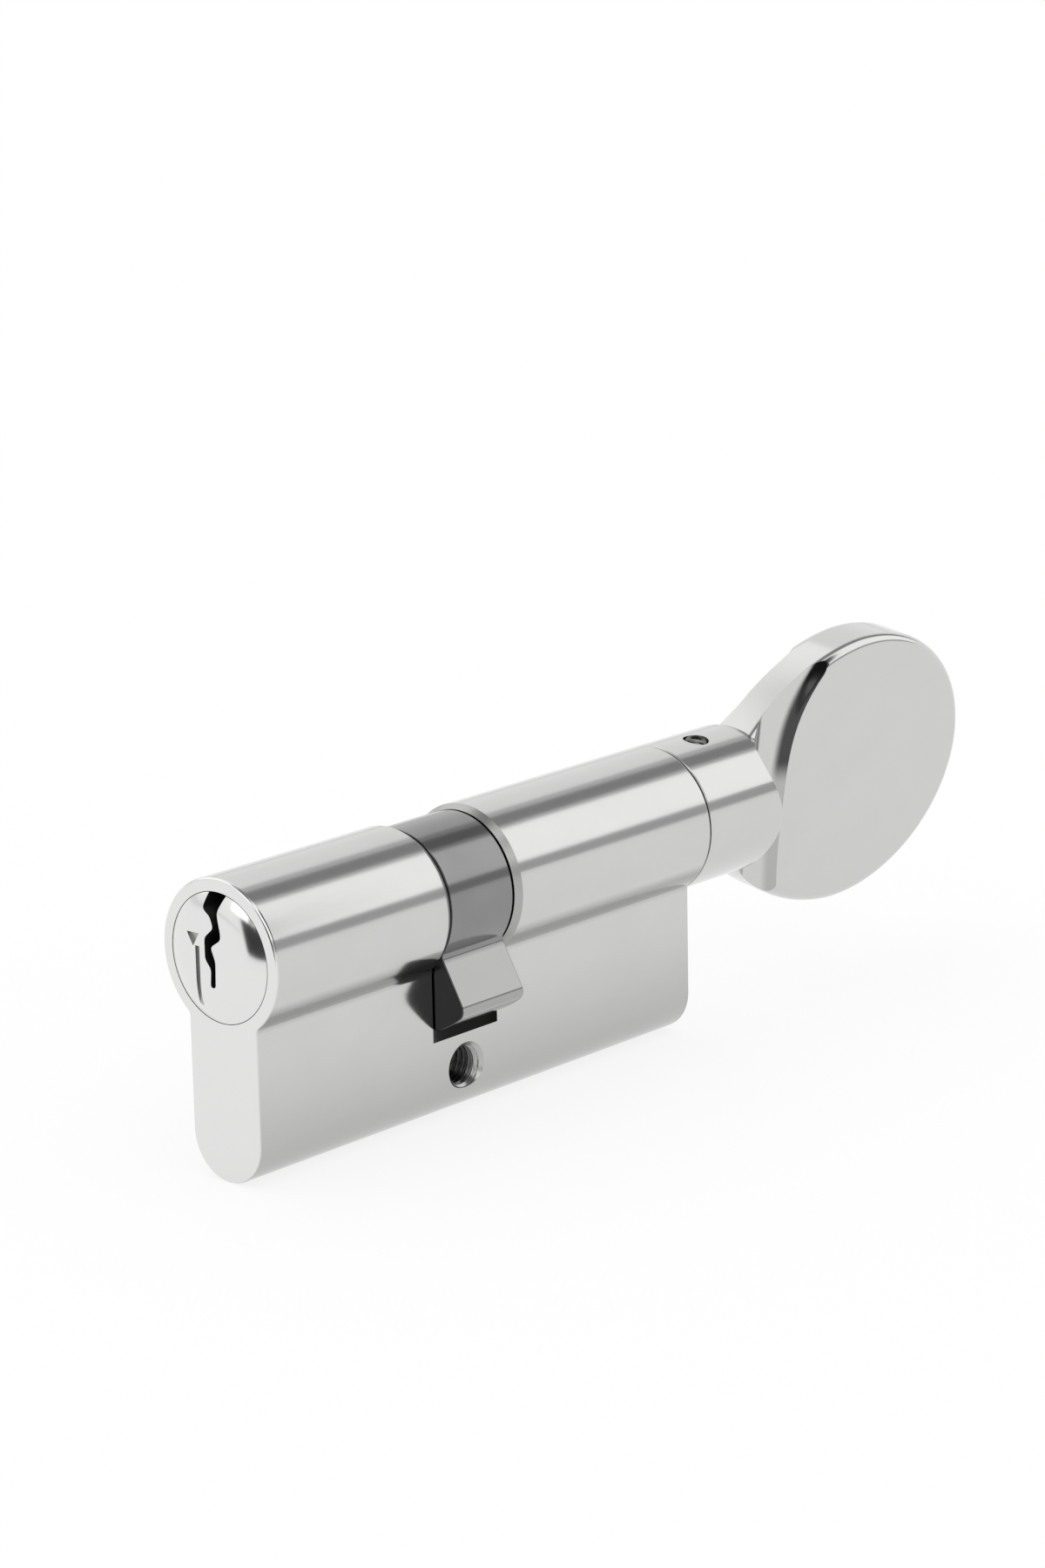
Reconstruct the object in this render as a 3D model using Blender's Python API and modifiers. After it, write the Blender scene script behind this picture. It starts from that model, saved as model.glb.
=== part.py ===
"""A euro profile thumbturn cylinder for a door lock, as an assembly of its separate pieces.

Metres, +Z up. The X axis is the axis that the key plug, the cam and the thumbturn turn about, and
the origin is on it, in the plane of the fixing screw. The key goes in at -X and the knob is at +X.
"""

import math

import bmesh
import bpy
from mathutils import Euler, Matrix, Vector

# Body: a barrel over a flange, which a lock case's cut-out holds
BARREL_RADIUS = 0.0085
BARREL_WALL = 0.0020
FLANGE_WIDTH = 0.010
KEY_SIDE_LENGTH = 0.026
KNOB_SIDE_LENGTH = 0.032
CAM_SLOT_WIDTH = 0.010
FIXING_HOLE_RADIUS = 0.0021
FIXING_HOLE_COVER = 0.00385
FIXING_SINK_STEP = 0.0007
FIXING_SINK_DEPTH = 0.0006
FLANGE_BELOW_HOLE = 0.00575

# Running fits
TURNING_CLEARANCE = 0.00015
SLIDING_CLEARANCE = 0.00014
SEAT_GAP = 0.0003

# Key plug: the rotor that the key turns
HEAD_STEP = 0.0005
HEAD_DEPTH = 0.0014
HEAD_FLOOR_GAP = 0.00015
NOSE_HEIGHT = 0.0011
NOSE_BEVEL = 0.0019
ROTOR_REACH = 0.0008

# Keyway, down its right side and up its left side: distance to the side, height
KEYWAY_FLOOR = -0.00295
KEYWAY_OPEN_RIGHT = -0.0015
KEYWAY_OPEN_LEFT = 0.0011
KEYWAY_RIGHT = ((-0.0007, 0.0052), (-0.0014, 0.0032), (-0.0014, 0.0024), (0.0001, 0.0014),
                (-0.00055, -0.0001), (-0.00045, KEYWAY_FLOOR))
KEYWAY_LEFT = ((0.0003, KEYWAY_FLOOR), (0.00015, -0.0010), (0.0010, 0.0), (0.0010, 0.0023),
               (-0.00035, 0.0035), (0.0002, 0.0046), (0.0015, 0.0053))
KEYWAY_BREAK_THROUGH = 0.0005

# Lead-in groove and index notch on the plug's nose
LEAD_GROOVE_SIDE = 0.0018
LEAD_GROOVE_WIDTH = 0.0005
LEAD_GROOVE_TOP = 0.0012
LEAD_GROOVE_DEPTH = 0.0004
INDEX_NOTCH = ((0.0018, 0.0026), (0.0037, 0.0025), (0.0027, 0.0011))
INDEX_NOTCH_DEPTH = 0.0004

# Pin stacks: chambers in a row under the keyway
FIRST_PIN_FROM_FACE = 0.006
LAST_PIN_FROM_SLOT = 0.004
PIN_PITCH = 0.004
CHAMBER_RADIUS = 0.0015
KEY_PIN_LENGTHS = (0.0050, 0.0062, 0.0054, 0.0066, 0.0058)
KEY_PIN_POINT = 0.0009
KEY_PIN_TIP_RADIUS = 0.0005
KEY_PIN_LIFT_ROOM = 0.00116
DRIVER_LENGTH = 0.0050
DRIVER_EDGE = 0.0003
CHAMBER_PLUG_LENGTH = 0.0015
CHAMBER_PLUG_SINK = 0.00025
SPRING_WIRE_RADIUS = 0.00020
PIN_SPRING_TURNS = 7
BRAKE_SPRING_TURNS = 9
SPRING_POINTS_PER_TURN = 8

# Circlips that hold the key plug and the spindle
CIRCLIP_THICKNESS = 0.0009
CIRCLIP_STAND = 0.0008
CIRCLIP_GROOVE_DEPTH = 0.0008
CIRCLIP_SET_BACK = 0.00025
CIRCLIP_SIDE_PLAY = 0.00015
CIRCLIP_OPENING = 0.0030

# Cam, with its lever part way round from straight down
CAM_SIDE_CLEARANCE = 0.0002
CAM_RING_STEP = 0.0005
CAM_BORE_CLEARANCE = 0.0002
CAM_RECESS_CLEARANCE = 0.00025
CAM_RECESS_FLOOR_GAP = 0.0004
CAM_LEVER_STAND = 0.0060
CAM_LEVER_CLEARANCE = 0.0004
CAM_LEVER_WIDTH = 0.0058
CAM_LEVER_ROOT_FILLET = 0.0011
CAM_LEVER_CORNER = 0.0012
CAM_LEVER_SWING = math.radians(30)

# Coupling between the key plug and the cam, pushed in by the key's tip
DRIVE_LUG_WIDTH = 0.0020
DRIVE_LUG_BITE = 0.0009
DRIVE_LUG_CLEARANCE = 0.0003
DRIVE_SLOT_PLAY = 0.00025
COUPLING_DISC_CLEARANCE = 0.0003
COUPLING_STAND_OFF = 0.0011
COUPLING_DISC_THICKNESS = 0.0017
COUPLING_END_GAP = 0.0004
COUPLING_TONGUE_ENGAGE = 0.0024
COUPLING_TONGUE_FLOOR_GAP = 0.0006
COUPLING_TONGUE_HEIGHT = 0.0080
COUPLING_TONGUE_TIP_GAP = 0.0005
COUPLING_ROOT_OVERLAP = 0.0004
COUPLING_WING_INSET = 0.00015
COUPLING_SPRING_RADIUS = 0.0030
COUPLING_SPRING_TURNS = 2.5

# Turn spindle, from the cam to the inside of the knob
SPIGOT_STEP = 0.0015
SPIGOT_LENGTH = 0.0018
SPIGOT_LUG_INSET = 0.0003
STUB_SET_IN = 0.0030
STUB_FLAT_DEPTH = 0.0006
BRAKE_FROM_SLOT = 0.0070
BRAKE_GROOVE_DEPTH = 0.0011
BRAKE_GROOVE_CLEARANCE = 0.00024

# Thumbturn knob: a collar as wide as the barrel, and a flat oval plate that is rooted in it between two coves
KNOB_TURN = math.radians(9)
COLLAR_LENGTH = 0.0127
COVE_RADIUS = 0.004
COVE_FROM_COLLAR = 0.00315
NECK_HALF_THICKNESS = 0.0018
KNOB_HALF_THICKNESS = 0.0031
KNOB_HALF_HEIGHT = 0.0165
KNOB_WIDEST_FROM_COLLAR = 0.0195
KNOB_INNER_RUN = 0.0233
KNOB_OUTER_RUN = 0.0201
KNOB_INNER_SQUARENESS = 1.8
KNOB_OUTER_SQUARENESS = 2.0
KNOB_EDGE = 0.0007
KNOB_EDGE_STEPS = 2
KNOB_EDGE_ANGLE = math.radians(60)
SET_SCREW_FROM_JOINT = 0.0055
SET_SCREW_HOLE_RADIUS = 0.0015
SET_SCREW_SINK = 0.0009
SET_SCREW_SOCKET_RADIUS = 0.00075
SET_SCREW_SOCKET_DEPTH = 0.0013
SET_SCREW_SOCKET_SIDES = 6

# Smoothness of the solids
BARREL_SEGMENTS = 40
FLANGE_END_SEGMENTS = 14
FIXING_HOLE_SEGMENTS = 24
FILLET_STEPS = 4
LEVER_END_SEGMENTS = 6
PIN_SEGMENTS = 16
BALL_SEGMENTS = 14
BALL_RINGS = 8
KNOB_SEGMENTS = 56
COVE_SEGMENTS = 32
SMOOTH_ANGLE = math.radians(30)
CUT_OVERRUN = 0.002
WELD_DISTANCE = 0.000001
COUNT_SLACK = 0.001

# Body places worked out from the sizes above
SLOT_HALF = CAM_SLOT_WIDTH / 2
KEY_FACE = -SLOT_HALF - KEY_SIDE_LENGTH
KNOB_FACE = SLOT_HALF + KNOB_SIDE_LENGTH
CAM_LEVER_REACH = BARREL_RADIUS + CAM_LEVER_STAND
CAM_SLOT_FLOOR = CAM_LEVER_REACH + CAM_LEVER_CLEARANCE
FIXING_HOLE_DROP = CAM_SLOT_FLOOR + FIXING_HOLE_COVER
BODY_BOTTOM = -FIXING_HOLE_DROP - FLANGE_BELOW_HOLE

# Rotor sizes, shared by the key plug and the spindle
ROTOR_RADIUS = BARREL_RADIUS - BARREL_WALL
BORE_RADIUS = ROTOR_RADIUS + TURNING_CLEARANCE
HEAD_RADIUS = ROTOR_RADIUS + HEAD_STEP
NOSE_FLAT_RADIUS = HEAD_RADIUS - NOSE_BEVEL
ROTOR_END = SLOT_HALF - ROTOR_REACH
SPIGOT_RADIUS = ROTOR_RADIUS - SPIGOT_STEP
CIRCLIP_OUTER_RADIUS = ROTOR_RADIUS + CIRCLIP_STAND
CIRCLIP_GROOVE_RADIUS = ROTOR_RADIUS - CIRCLIP_GROOVE_DEPTH
CIRCLIP_NEAR = SLOT_HALF + CIRCLIP_SET_BACK
CIRCLIP_FAR = CIRCLIP_NEAR + CIRCLIP_THICKNESS
CIRCLIP_GROOVE = (CIRCLIP_NEAR - CIRCLIP_SIDE_PLAY, CIRCLIP_FAR + CIRCLIP_SIDE_PLAY)
CIRCLIP_RECESS = CIRCLIP_FAR + SEAT_GAP

# Pin places
PIN_RADIUS = CHAMBER_RADIUS - SLIDING_CLEARANCE
PIN_ROW = KEY_SIDE_LENGTH - FIRST_PIN_FROM_FACE - LAST_PIN_FROM_SLOT
PIN_COUNT = math.floor(PIN_ROW / PIN_PITCH + COUNT_SLACK) + 1
PIN_PLACES = [KEY_FACE + FIRST_PIN_FROM_FACE + PIN_PITCH * i for i in range(PIN_COUNT)]
KEY_PIN_FOOT = -math.sqrt(ROTOR_RADIUS**2 - PIN_RADIUS**2)
PIN_BORE_TOP = KEY_PIN_FOOT + max(KEY_PIN_LENGTHS) + KEY_PIN_LIFT_ROOM
DRIVER_TOP = -BORE_RADIUS - SLIDING_CLEARANCE
CHAMBER_PLUG_LOW = BODY_BOTTOM + CHAMBER_PLUG_SINK
CHAMBER_PLUG_TOP = CHAMBER_PLUG_LOW + CHAMBER_PLUG_LENGTH

# Cam, coupling and spindle places
CAM_HALF = SLOT_HALF - CAM_SIDE_CLEARANCE
CAM_RING_RADIUS = BARREL_RADIUS - CAM_RING_STEP
CAM_BORE_RADIUS = SPIGOT_RADIUS + CAM_BORE_CLEARANCE
CAM_RECESS_RADIUS = ROTOR_RADIUS + CAM_RECESS_CLEARANCE
CAM_RECESS_FLOOR = ROTOR_END - CAM_RECESS_FLOOR_GAP
DRIVE_LUG_RADIUS = CAM_BORE_RADIUS + DRIVE_LUG_BITE
DRIVE_SLOT_RADIUS = DRIVE_LUG_RADIUS + DRIVE_LUG_CLEARANCE
DRIVE_SLOT_HALF = DRIVE_LUG_WIDTH / 2 + DRIVE_SLOT_PLAY
COUPLING_DISC_RADIUS = CAM_BORE_RADIUS - COUPLING_DISC_CLEARANCE
COUPLING_START = -ROTOR_END + COUPLING_STAND_OFF
COUPLING_END = COUPLING_START + COUPLING_DISC_THICKNESS
FREE_GROOVE_START = COUPLING_START - COUPLING_END_GAP
FREE_GROOVE_END = COUPLING_END + COUPLING_END_GAP
TONGUE_END = -ROTOR_END - COUPLING_TONGUE_ENGAGE
COUPLING_SLOT_FLOOR = TONGUE_END - COUPLING_TONGUE_FLOOR_GAP
SPIGOT_END = ROTOR_END - SPIGOT_LENGTH
BRAKE_POSITION = SLOT_HALF + BRAKE_FROM_SLOT
BRAKE_BALL_RADIUS = PIN_RADIUS
BRAKE_GROOVE_RADIUS = ROTOR_RADIUS - BRAKE_GROOVE_DEPTH
BRAKE_GROOVE_HALF_WIDTH = BRAKE_BALL_RADIUS + BRAKE_GROOVE_CLEARANCE

# Knob places
COLLAR_START = KNOB_FACE + SEAT_GAP
COLLAR_END = COLLAR_START + COLLAR_LENGTH
COVE_PLACE = COLLAR_END + COVE_FROM_COLLAR
COVE_SIDE = NECK_HALF_THICKNESS + COVE_RADIUS
PLATE_WIDEST = COLLAR_END + KNOB_WIDEST_FROM_COLLAR
STUB_END = COLLAR_END - STUB_SET_IN
STUB_BORE_RADIUS = SPIGOT_RADIUS + TURNING_CLEARANCE
STUB_FLAT = SPIGOT_RADIUS - STUB_FLAT_DEPTH
SET_SCREW_PLACE = COLLAR_START + SET_SCREW_FROM_JOINT

# Finishes: colour, roughness, metallic
NICKEL = ("satin_nickel", (0.72, 0.72, 0.72), 0.22, 1.0)
BRASS = ("bright_brass", (0.78, 0.60, 0.30), 0.28, 1.0)
STEEL = ("dark_steel", (0.25, 0.25, 0.25), 0.35, 1.0)
SPRING_STEEL = ("spring_steel", (0.55, 0.55, 0.55), 0.30, 1.0)
HARD_STEEL = ("hardened_steel", (0.40, 0.40, 0.41), 0.30, 1.0)


def clear_scene():
    for obj in list(bpy.data.objects):
        bpy.data.objects.remove(obj, do_unlink=True)


def collection(name):
    made = bpy.data.collections.new(name)
    bpy.context.scene.collection.children.link(made)
    return made


def material(finish):
    """The Principled material of a finish, made once."""
    name, colour, roughness, metallic = finish
    found = bpy.data.materials.get(name)
    if found:
        return found
    made = bpy.data.materials.new(name)
    made.use_nodes = True
    shader = made.node_tree.nodes["Principled BSDF"]
    shader.inputs["Base Color"].default_value = (*colour, 1)
    shader.inputs["Roughness"].default_value = roughness
    shader.inputs["Metallic"].default_value = metallic
    return made


def empty(name, parent=None, rotation=(0, 0, 0), location=(0, 0, 0)):
    made = bpy.data.objects.new(name, None)
    PARTS.objects.link(made)
    made.parent = parent
    made.location = location
    made.rotation_euler = rotation
    return made


def place(name, mesh, group, parent, location=(0, 0, 0), rotation=(0, 0, 0)):
    obj = bpy.data.objects.new(name, mesh)
    group.objects.link(obj)
    obj.parent = parent
    obj.location = location
    obj.rotation_euler = rotation
    return obj


def part(obj, finish):
    """Gives a sub-part its finish and its smooth shading."""
    obj.data.materials.clear()
    obj.data.materials.append(material(finish))
    obj.data.shade_smooth()
    obj.data.set_sharp_from_angle(angle=SMOOTH_ANGLE)
    return obj


def cutter(obj):
    obj.hide_render = True
    obj.display_type = "WIRE"
    return obj


def cut(obj, other, operation="DIFFERENCE"):
    boolean = obj.modifiers.new(other.name, "BOOLEAN")
    boolean.object = other
    boolean.operation = operation
    return obj


def cut_together(obj, tools):
    """Takes several cutters, which may cross each other, off a solid in one Boolean."""
    group = bpy.data.collections.new(obj.name + "_cutters")
    CUTTERS.children.link(group)
    for tool in tools:
        CUTTERS.objects.unlink(cutter(tool))
        group.objects.link(tool)
    boolean = obj.modifiers.new(group.name, "BOOLEAN")
    boolean.operand_type = "COLLECTION"
    boolean.collection = group
    return obj


def edges_mesh(name, points, closed):
    mesh = bpy.data.meshes.new(name)
    shape = bmesh.new()
    corners = [shape.verts.new(point) for point in points]
    for first, second in zip(corners, corners[1:]):
        shape.edges.new((first, second))
    if closed:
        shape.edges.new((corners[-1], corners[0]))
    shape.to_mesh(mesh)
    shape.free()
    return mesh


TURNED = (0, math.pi / 2, 0)
CROSSWISE = (math.pi / 2, 0, math.pi / 2)


def turn(obj, segments):
    """Turns an edge profile about its own Z axis into a closed solid."""
    screw = obj.modifiers.new("turn", "SCREW")
    screw.steps = segments
    screw.render_steps = segments
    screw.use_merge_vertices = True
    screw.merge_threshold = WELD_DISTANCE
    return obj


def turned(name, profile, group, parent=None, segments=BARREL_SEGMENTS, closed=False):
    """A profile of (place along X, radius) from the knob's end to the key's end, turned about X."""
    mesh = edges_mesh(name, [(radius, 0, along) for along, radius in profile], closed)
    return turn(place(name, mesh, group, parent, rotation=TURNED), segments)


def upright_turned(name, profile, parent, location, finish):
    """A profile of (height, radius), top to bottom, turned about an upright axis."""
    mesh = edges_mesh(name, [(radius, 0, height) for height, radius in profile], False)
    return part(turn(place(name, mesh, PARTS, parent, location), PIN_SEGMENTS), finish)


def ring(name, start, end, inner, outer, group, parent=None, segments=BARREL_SEGMENTS):
    profile = [(end, outer), (start, outer), (start, inner), (end, inner)]
    return turned(name, profile, group, parent, segments, closed=True)


def rod(name, start, end, radius, group, parent=None, segments=BARREL_SEGMENTS):
    """A plain cylinder along X."""
    profile = [(end, 0), (end, radius), (start, radius), (start, 0)]
    return turned(name, profile, group, parent, segments)


def cone_mesh(name, low, high, low_radius, high_radius, segments=PIN_SEGMENTS):
    """An upright cylinder or cone between two heights, with a flat side towards +X."""
    mesh = bpy.data.meshes.new(name)
    shape = bmesh.new()
    bmesh.ops.create_cone(
        shape, cap_ends=True, segments=segments, radius1=low_radius, radius2=high_radius, depth=high - low
    )
    half_step = Matrix.Rotation(math.pi / segments, 3, "Z")
    bmesh.ops.rotate(shape, verts=shape.verts, matrix=half_step)
    bmesh.ops.translate(shape, verts=shape.verts, vec=(0, 0, (low + high) / 2))
    shape.to_mesh(mesh)
    shape.free()
    return mesh


def box_mesh(name, low, high):
    mesh = bpy.data.meshes.new(name)
    shape = bmesh.new()
    bmesh.ops.create_cube(shape, size=1)
    size = Vector(high) - Vector(low)
    bmesh.ops.scale(shape, verts=shape.verts, vec=size)
    bmesh.ops.translate(shape, verts=shape.verts, vec=(Vector(high) + Vector(low)) / 2)
    shape.to_mesh(mesh)
    shape.free()
    return mesh


def prism(name, outline, start, end, group, parent=None, rotation=CROSSWISE, location=None):
    """A flat outline, filled and extruded between two places along its normal, as a mesh."""
    curve = bpy.data.curves.new(name, "CURVE")
    curve.dimensions = "2D"
    curve.fill_mode = "BOTH"
    curve.extrude = (end - start) / 2
    spline = curve.splines.new("POLY")
    spline.points.add(len(outline) - 1)
    for point, (across, up) in zip(spline.points, outline):
        point.co = (across, up, 0, 1)
    spline.use_cyclic_u = True
    guide = bpy.data.objects.new(name + "_guide", curve)
    bpy.context.scene.collection.objects.link(guide)
    bpy.context.view_layer.update()
    mesh = bpy.data.meshes.new_from_object(guide.evaluated_get(bpy.context.evaluated_depsgraph_get()))
    bpy.data.objects.remove(guide, do_unlink=True)
    shape = bmesh.new()
    shape.from_mesh(mesh)
    bmesh.ops.remove_doubles(shape, verts=shape.verts, dist=WELD_DISTANCE)
    bmesh.ops.recalc_face_normals(shape, faces=shape.faces)
    shape.to_mesh(mesh)
    shape.free()
    mesh.name = name
    middle = Vector((0, 0, (start + end) / 2))
    middle.rotate(Euler(rotation))
    return place(name, mesh, group, parent, location or middle, rotation)


def arc(centre, radius, first, last, steps):
    """Points on an arc between two angles, both ends included."""
    angles = [first + (last - first) * i / steps for i in range(steps + 1)]
    return [(centre[0] + radius * math.cos(a), centre[1] + radius * math.sin(a)) for a in angles]


def coil_points(radius, start, end, turns, along_x=False):
    """A helix between two heights, or two places along X."""
    count = round(turns * SPRING_POINTS_PER_TURN)
    points = []
    for i in range(count + 1):
        angle = 2 * math.pi * i / SPRING_POINTS_PER_TURN
        run = start + (end - start) * i / count
        a, b = radius * math.cos(angle), radius * math.sin(angle)
        points.append((run, a, b) if along_x else (a, b, run))
    return points


def spring(name, points, parent, location=(0, 0, 0)):
    """One unbroken wire along a helix. It prints the least clear gap between its turns."""
    turn = SPRING_POINTS_PER_TURN
    steps = [(Vector(b) - Vector(a)).length for a, b in zip(points, points[turn:])]
    print(name, "least gap between turns, mm:", round((min(steps) - 2 * SPRING_WIRE_RADIUS) * 1000, 2))
    curve = bpy.data.curves.new(name, "CURVE")
    curve.dimensions = "3D"
    curve.bevel_depth = SPRING_WIRE_RADIUS
    curve.bevel_resolution = 0
    curve.use_fill_caps = True
    spline = curve.splines.new("POLY")
    spline.points.add(len(points) - 1)
    for point, at in zip(spline.points, points):
        point.co = (*at, 1)
    obj = place(name, curve, PARTS, parent, location)
    curve.materials.append(material(SPRING_STEEL))
    return obj


def body_outline():
    """The euro profile, seen along X: barrel arc, flange sides and the flange's round end."""
    half = FLANGE_WIDTH / 2
    shoulder = math.asin(half / BARREL_RADIUS)
    barrel = arc((0, 0), BARREL_RADIUS, -math.pi / 2 + shoulder, 1.5 * math.pi - shoulder, BARREL_SEGMENTS)
    flange = arc((0, BODY_BOTTOM + half), half, math.pi, 2 * math.pi, FLANGE_END_SEGMENTS)
    return barrel + flange


def make_body():
    body = part(prism("cylinder_body", body_outline(), KEY_FACE, KNOB_FACE, PARTS, HOUSING), NICKEL)
    past = CUT_OVERRUN
    reach = BARREL_RADIUS + past
    slot = box_mesh("cam_slot", (-SLOT_HALF, -reach, -CAM_SLOT_FLOOR), (SLOT_HALF, reach, reach))
    head_floor = KEY_FACE + HEAD_DEPTH + HEAD_FLOOR_GAP
    recess_radius = CIRCLIP_OUTER_RADIUS + SEAT_GAP
    cuts = [
        place("cam_slot", slot, CUTTERS, HOUSING),
        rod("main_bore", KEY_FACE - past, KNOB_FACE + past, BORE_RADIUS, CUTTERS, HOUSING),
        rod("head_seat", KEY_FACE - past, head_floor, HEAD_RADIUS + TURNING_CLEARANCE, CUTTERS, HOUSING),
        rod("circlip_recesses", -CIRCLIP_RECESS, CIRCLIP_RECESS, recess_radius, CUTTERS, HOUSING),
    ]
    chamber = cone_mesh("chamber", BODY_BOTTOM - past, 0, CHAMBER_RADIUS, CHAMBER_RADIUS)
    for i, along in enumerate(PIN_PLACES + [BRAKE_POSITION], 1):
        cuts.append(place(f"chamber_{i}", chamber, CUTTERS, HOUSING, (along, 0, 0)))
    cuts += fixing_hole_cutters()
    cut_together(body, cuts)


def fixing_hole_cutters():
    """The fixing screw's hole across the flange, with a shallow sink on each side."""
    half = FLANGE_WIDTH / 2
    drop = (0, 0, -FIXING_HOLE_DROP)
    radius, sides, past = FIXING_HOLE_RADIUS, FIXING_HOLE_SEGMENTS, CUT_OVERRUN
    hole = cone_mesh("fixing_hole", -half - past, half + past, radius, radius, sides)
    tools = [place("fixing_hole", hole, CUTTERS, HOUSING, drop, (math.pi / 2, 0, 0))]
    depth = FIXING_SINK_DEPTH
    rim = radius + FIXING_SINK_STEP
    for name, side in (("fixing_sink_front", 1), ("fixing_sink_back", -1)):
        sink = cone_mesh(name, half - depth, half + depth, rim - depth, rim + depth, sides)
        tools.append(place(name, sink, CUTTERS, HOUSING, drop, (side * math.pi / 2, 0, 0)))
    return tools


def keyway_outline():
    """The keyway, seen along X: open at the plug's top, with the key's zigzag sides."""
    top = HEAD_RADIUS + SEAT_GAP
    return ((KEYWAY_OPEN_RIGHT, top), *KEYWAY_RIGHT, *KEYWAY_LEFT, (KEYWAY_OPEN_LEFT, top))


def make_key_plug():
    groove_near, groove_far = (-edge for edge in CIRCLIP_GROOVE)
    nose = KEY_FACE - NOSE_HEIGHT
    profile = [
        (-ROTOR_END, 0),
        (-ROTOR_END, ROTOR_RADIUS),
        (groove_near, ROTOR_RADIUS),
        (groove_near, CIRCLIP_GROOVE_RADIUS),
        (groove_far, CIRCLIP_GROOVE_RADIUS),
        (groove_far, ROTOR_RADIUS),
        (KEY_FACE + HEAD_DEPTH, ROTOR_RADIUS),
        (KEY_FACE + HEAD_DEPTH, HEAD_RADIUS),
        (KEY_FACE, HEAD_RADIUS),
        (nose, NOSE_FLAT_RADIUS),
        (nose, 0),
    ]
    plug = part(turned("key_plug", profile, PARTS, PLUG_AXIS), NICKEL)
    past = CUT_OVERRUN
    tall = COUPLING_TONGUE_HEIGHT / 2 + COUPLING_TONGUE_TIP_GAP
    slot_high = (past - ROTOR_END, DRIVE_SLOT_HALF, tall)
    slot = box_mesh("coupling_slot", (COUPLING_SLOT_FLOOR, -DRIVE_SLOT_HALF, -tall), slot_high)
    groove_low = (nose - past, LEAD_GROOVE_SIDE, -HEAD_RADIUS - past)
    groove_high = (nose + LEAD_GROOVE_DEPTH, LEAD_GROOVE_SIDE + LEAD_GROOVE_WIDTH, LEAD_GROOVE_TOP)
    groove = box_mesh("lead_groove", groove_low, groove_high)
    keyway_end = COUPLING_SLOT_FLOOR + KEYWAY_BREAK_THROUGH
    cuts = [
        prism("keyway", keyway_outline(), nose - past, keyway_end, CUTTERS, PLUG_AXIS),
        place("coupling_slot", slot, CUTTERS, PLUG_AXIS),
        place("lead_groove", groove, CUTTERS, PLUG_AXIS),
        prism("index_notch", INDEX_NOTCH, nose - past, nose + INDEX_NOTCH_DEPTH, CUTTERS, PLUG_AXIS),
    ]
    bore = cone_mesh("pin_bore", -HEAD_RADIUS - past, PIN_BORE_TOP, CHAMBER_RADIUS, CHAMBER_RADIUS)
    for i, along in enumerate(PIN_PLACES, 1):
        cuts.append(place(f"pin_bore_{i}", bore, CUTTERS, PLUG_AXIS, (along, 0, 0)))
    cut_together(plug, cuts)


def make_circlip(name, side, parent):
    near, far = sorted((side * CIRCLIP_NEAR, side * CIRCLIP_FAR))
    inner = CIRCLIP_GROOVE_RADIUS + TURNING_CLEARANCE
    clip = part(ring(name, near, far, inner, CIRCLIP_OUTER_RADIUS, PARTS, parent), SPRING_STEEL)
    half = CIRCLIP_OPENING / 2
    past = CUT_OVERRUN
    gap = box_mesh(name + "_gap", (near - past, -half, 0), (far + past, half, CIRCLIP_OUTER_RADIUS + past))
    cut(clip, cutter(place(name + "_gap", gap, CUTTERS, parent)))


def chamber_plug(name, along):
    """The brass plug that closes a chamber at the flange's round end."""
    mesh = cone_mesh(name, CHAMBER_PLUG_LOW, CHAMBER_PLUG_TOP, PIN_RADIUS, PIN_RADIUS)
    part(place(name, mesh, PARTS, HOUSING, (along, 0, 0)), BRASS)


def chamber_coil(top, turns):
    """A chamber's spring, from its plug up to what it pushes."""
    clear = SEAT_GAP + SPRING_WIRE_RADIUS
    return coil_points(PIN_RADIUS - SPRING_WIRE_RADIUS, CHAMBER_PLUG_TOP + clear, top - clear, turns)


def make_pin_stacks():
    """For each chamber: key pin, driver pin, spring and the plug that closes the chamber."""
    driver_low = DRIVER_TOP - DRIVER_LENGTH
    driver_profile = [
        (DRIVER_TOP, 0),
        (DRIVER_TOP, PIN_RADIUS - DRIVER_EDGE),
        (DRIVER_TOP - DRIVER_EDGE, PIN_RADIUS),
        (driver_low, PIN_RADIUS),
        (driver_low, 0),
    ]
    coil = chamber_coil(driver_low, PIN_SPRING_TURNS)
    for i, along in enumerate(PIN_PLACES, 1):
        at = (along, 0, 0)
        key_top = KEY_PIN_FOOT + KEY_PIN_LENGTHS[(i - 1) % len(KEY_PIN_LENGTHS)]
        key_profile = [
            (key_top, 0),
            (key_top, KEY_PIN_TIP_RADIUS),
            (key_top - KEY_PIN_POINT, PIN_RADIUS),
            (KEY_PIN_FOOT, PIN_RADIUS),
            (KEY_PIN_FOOT, 0),
        ]
        upright_turned(f"key_pin_{i}", key_profile, PLUG_AXIS, at, BRASS)
        upright_turned(f"driver_pin_{i}", driver_profile, HOUSING, at, HARD_STEEL)
        spring(f"pin_spring_{i}", coil, HOUSING, at)
        chamber_plug(f"chamber_plug_{i}", along)


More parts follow.
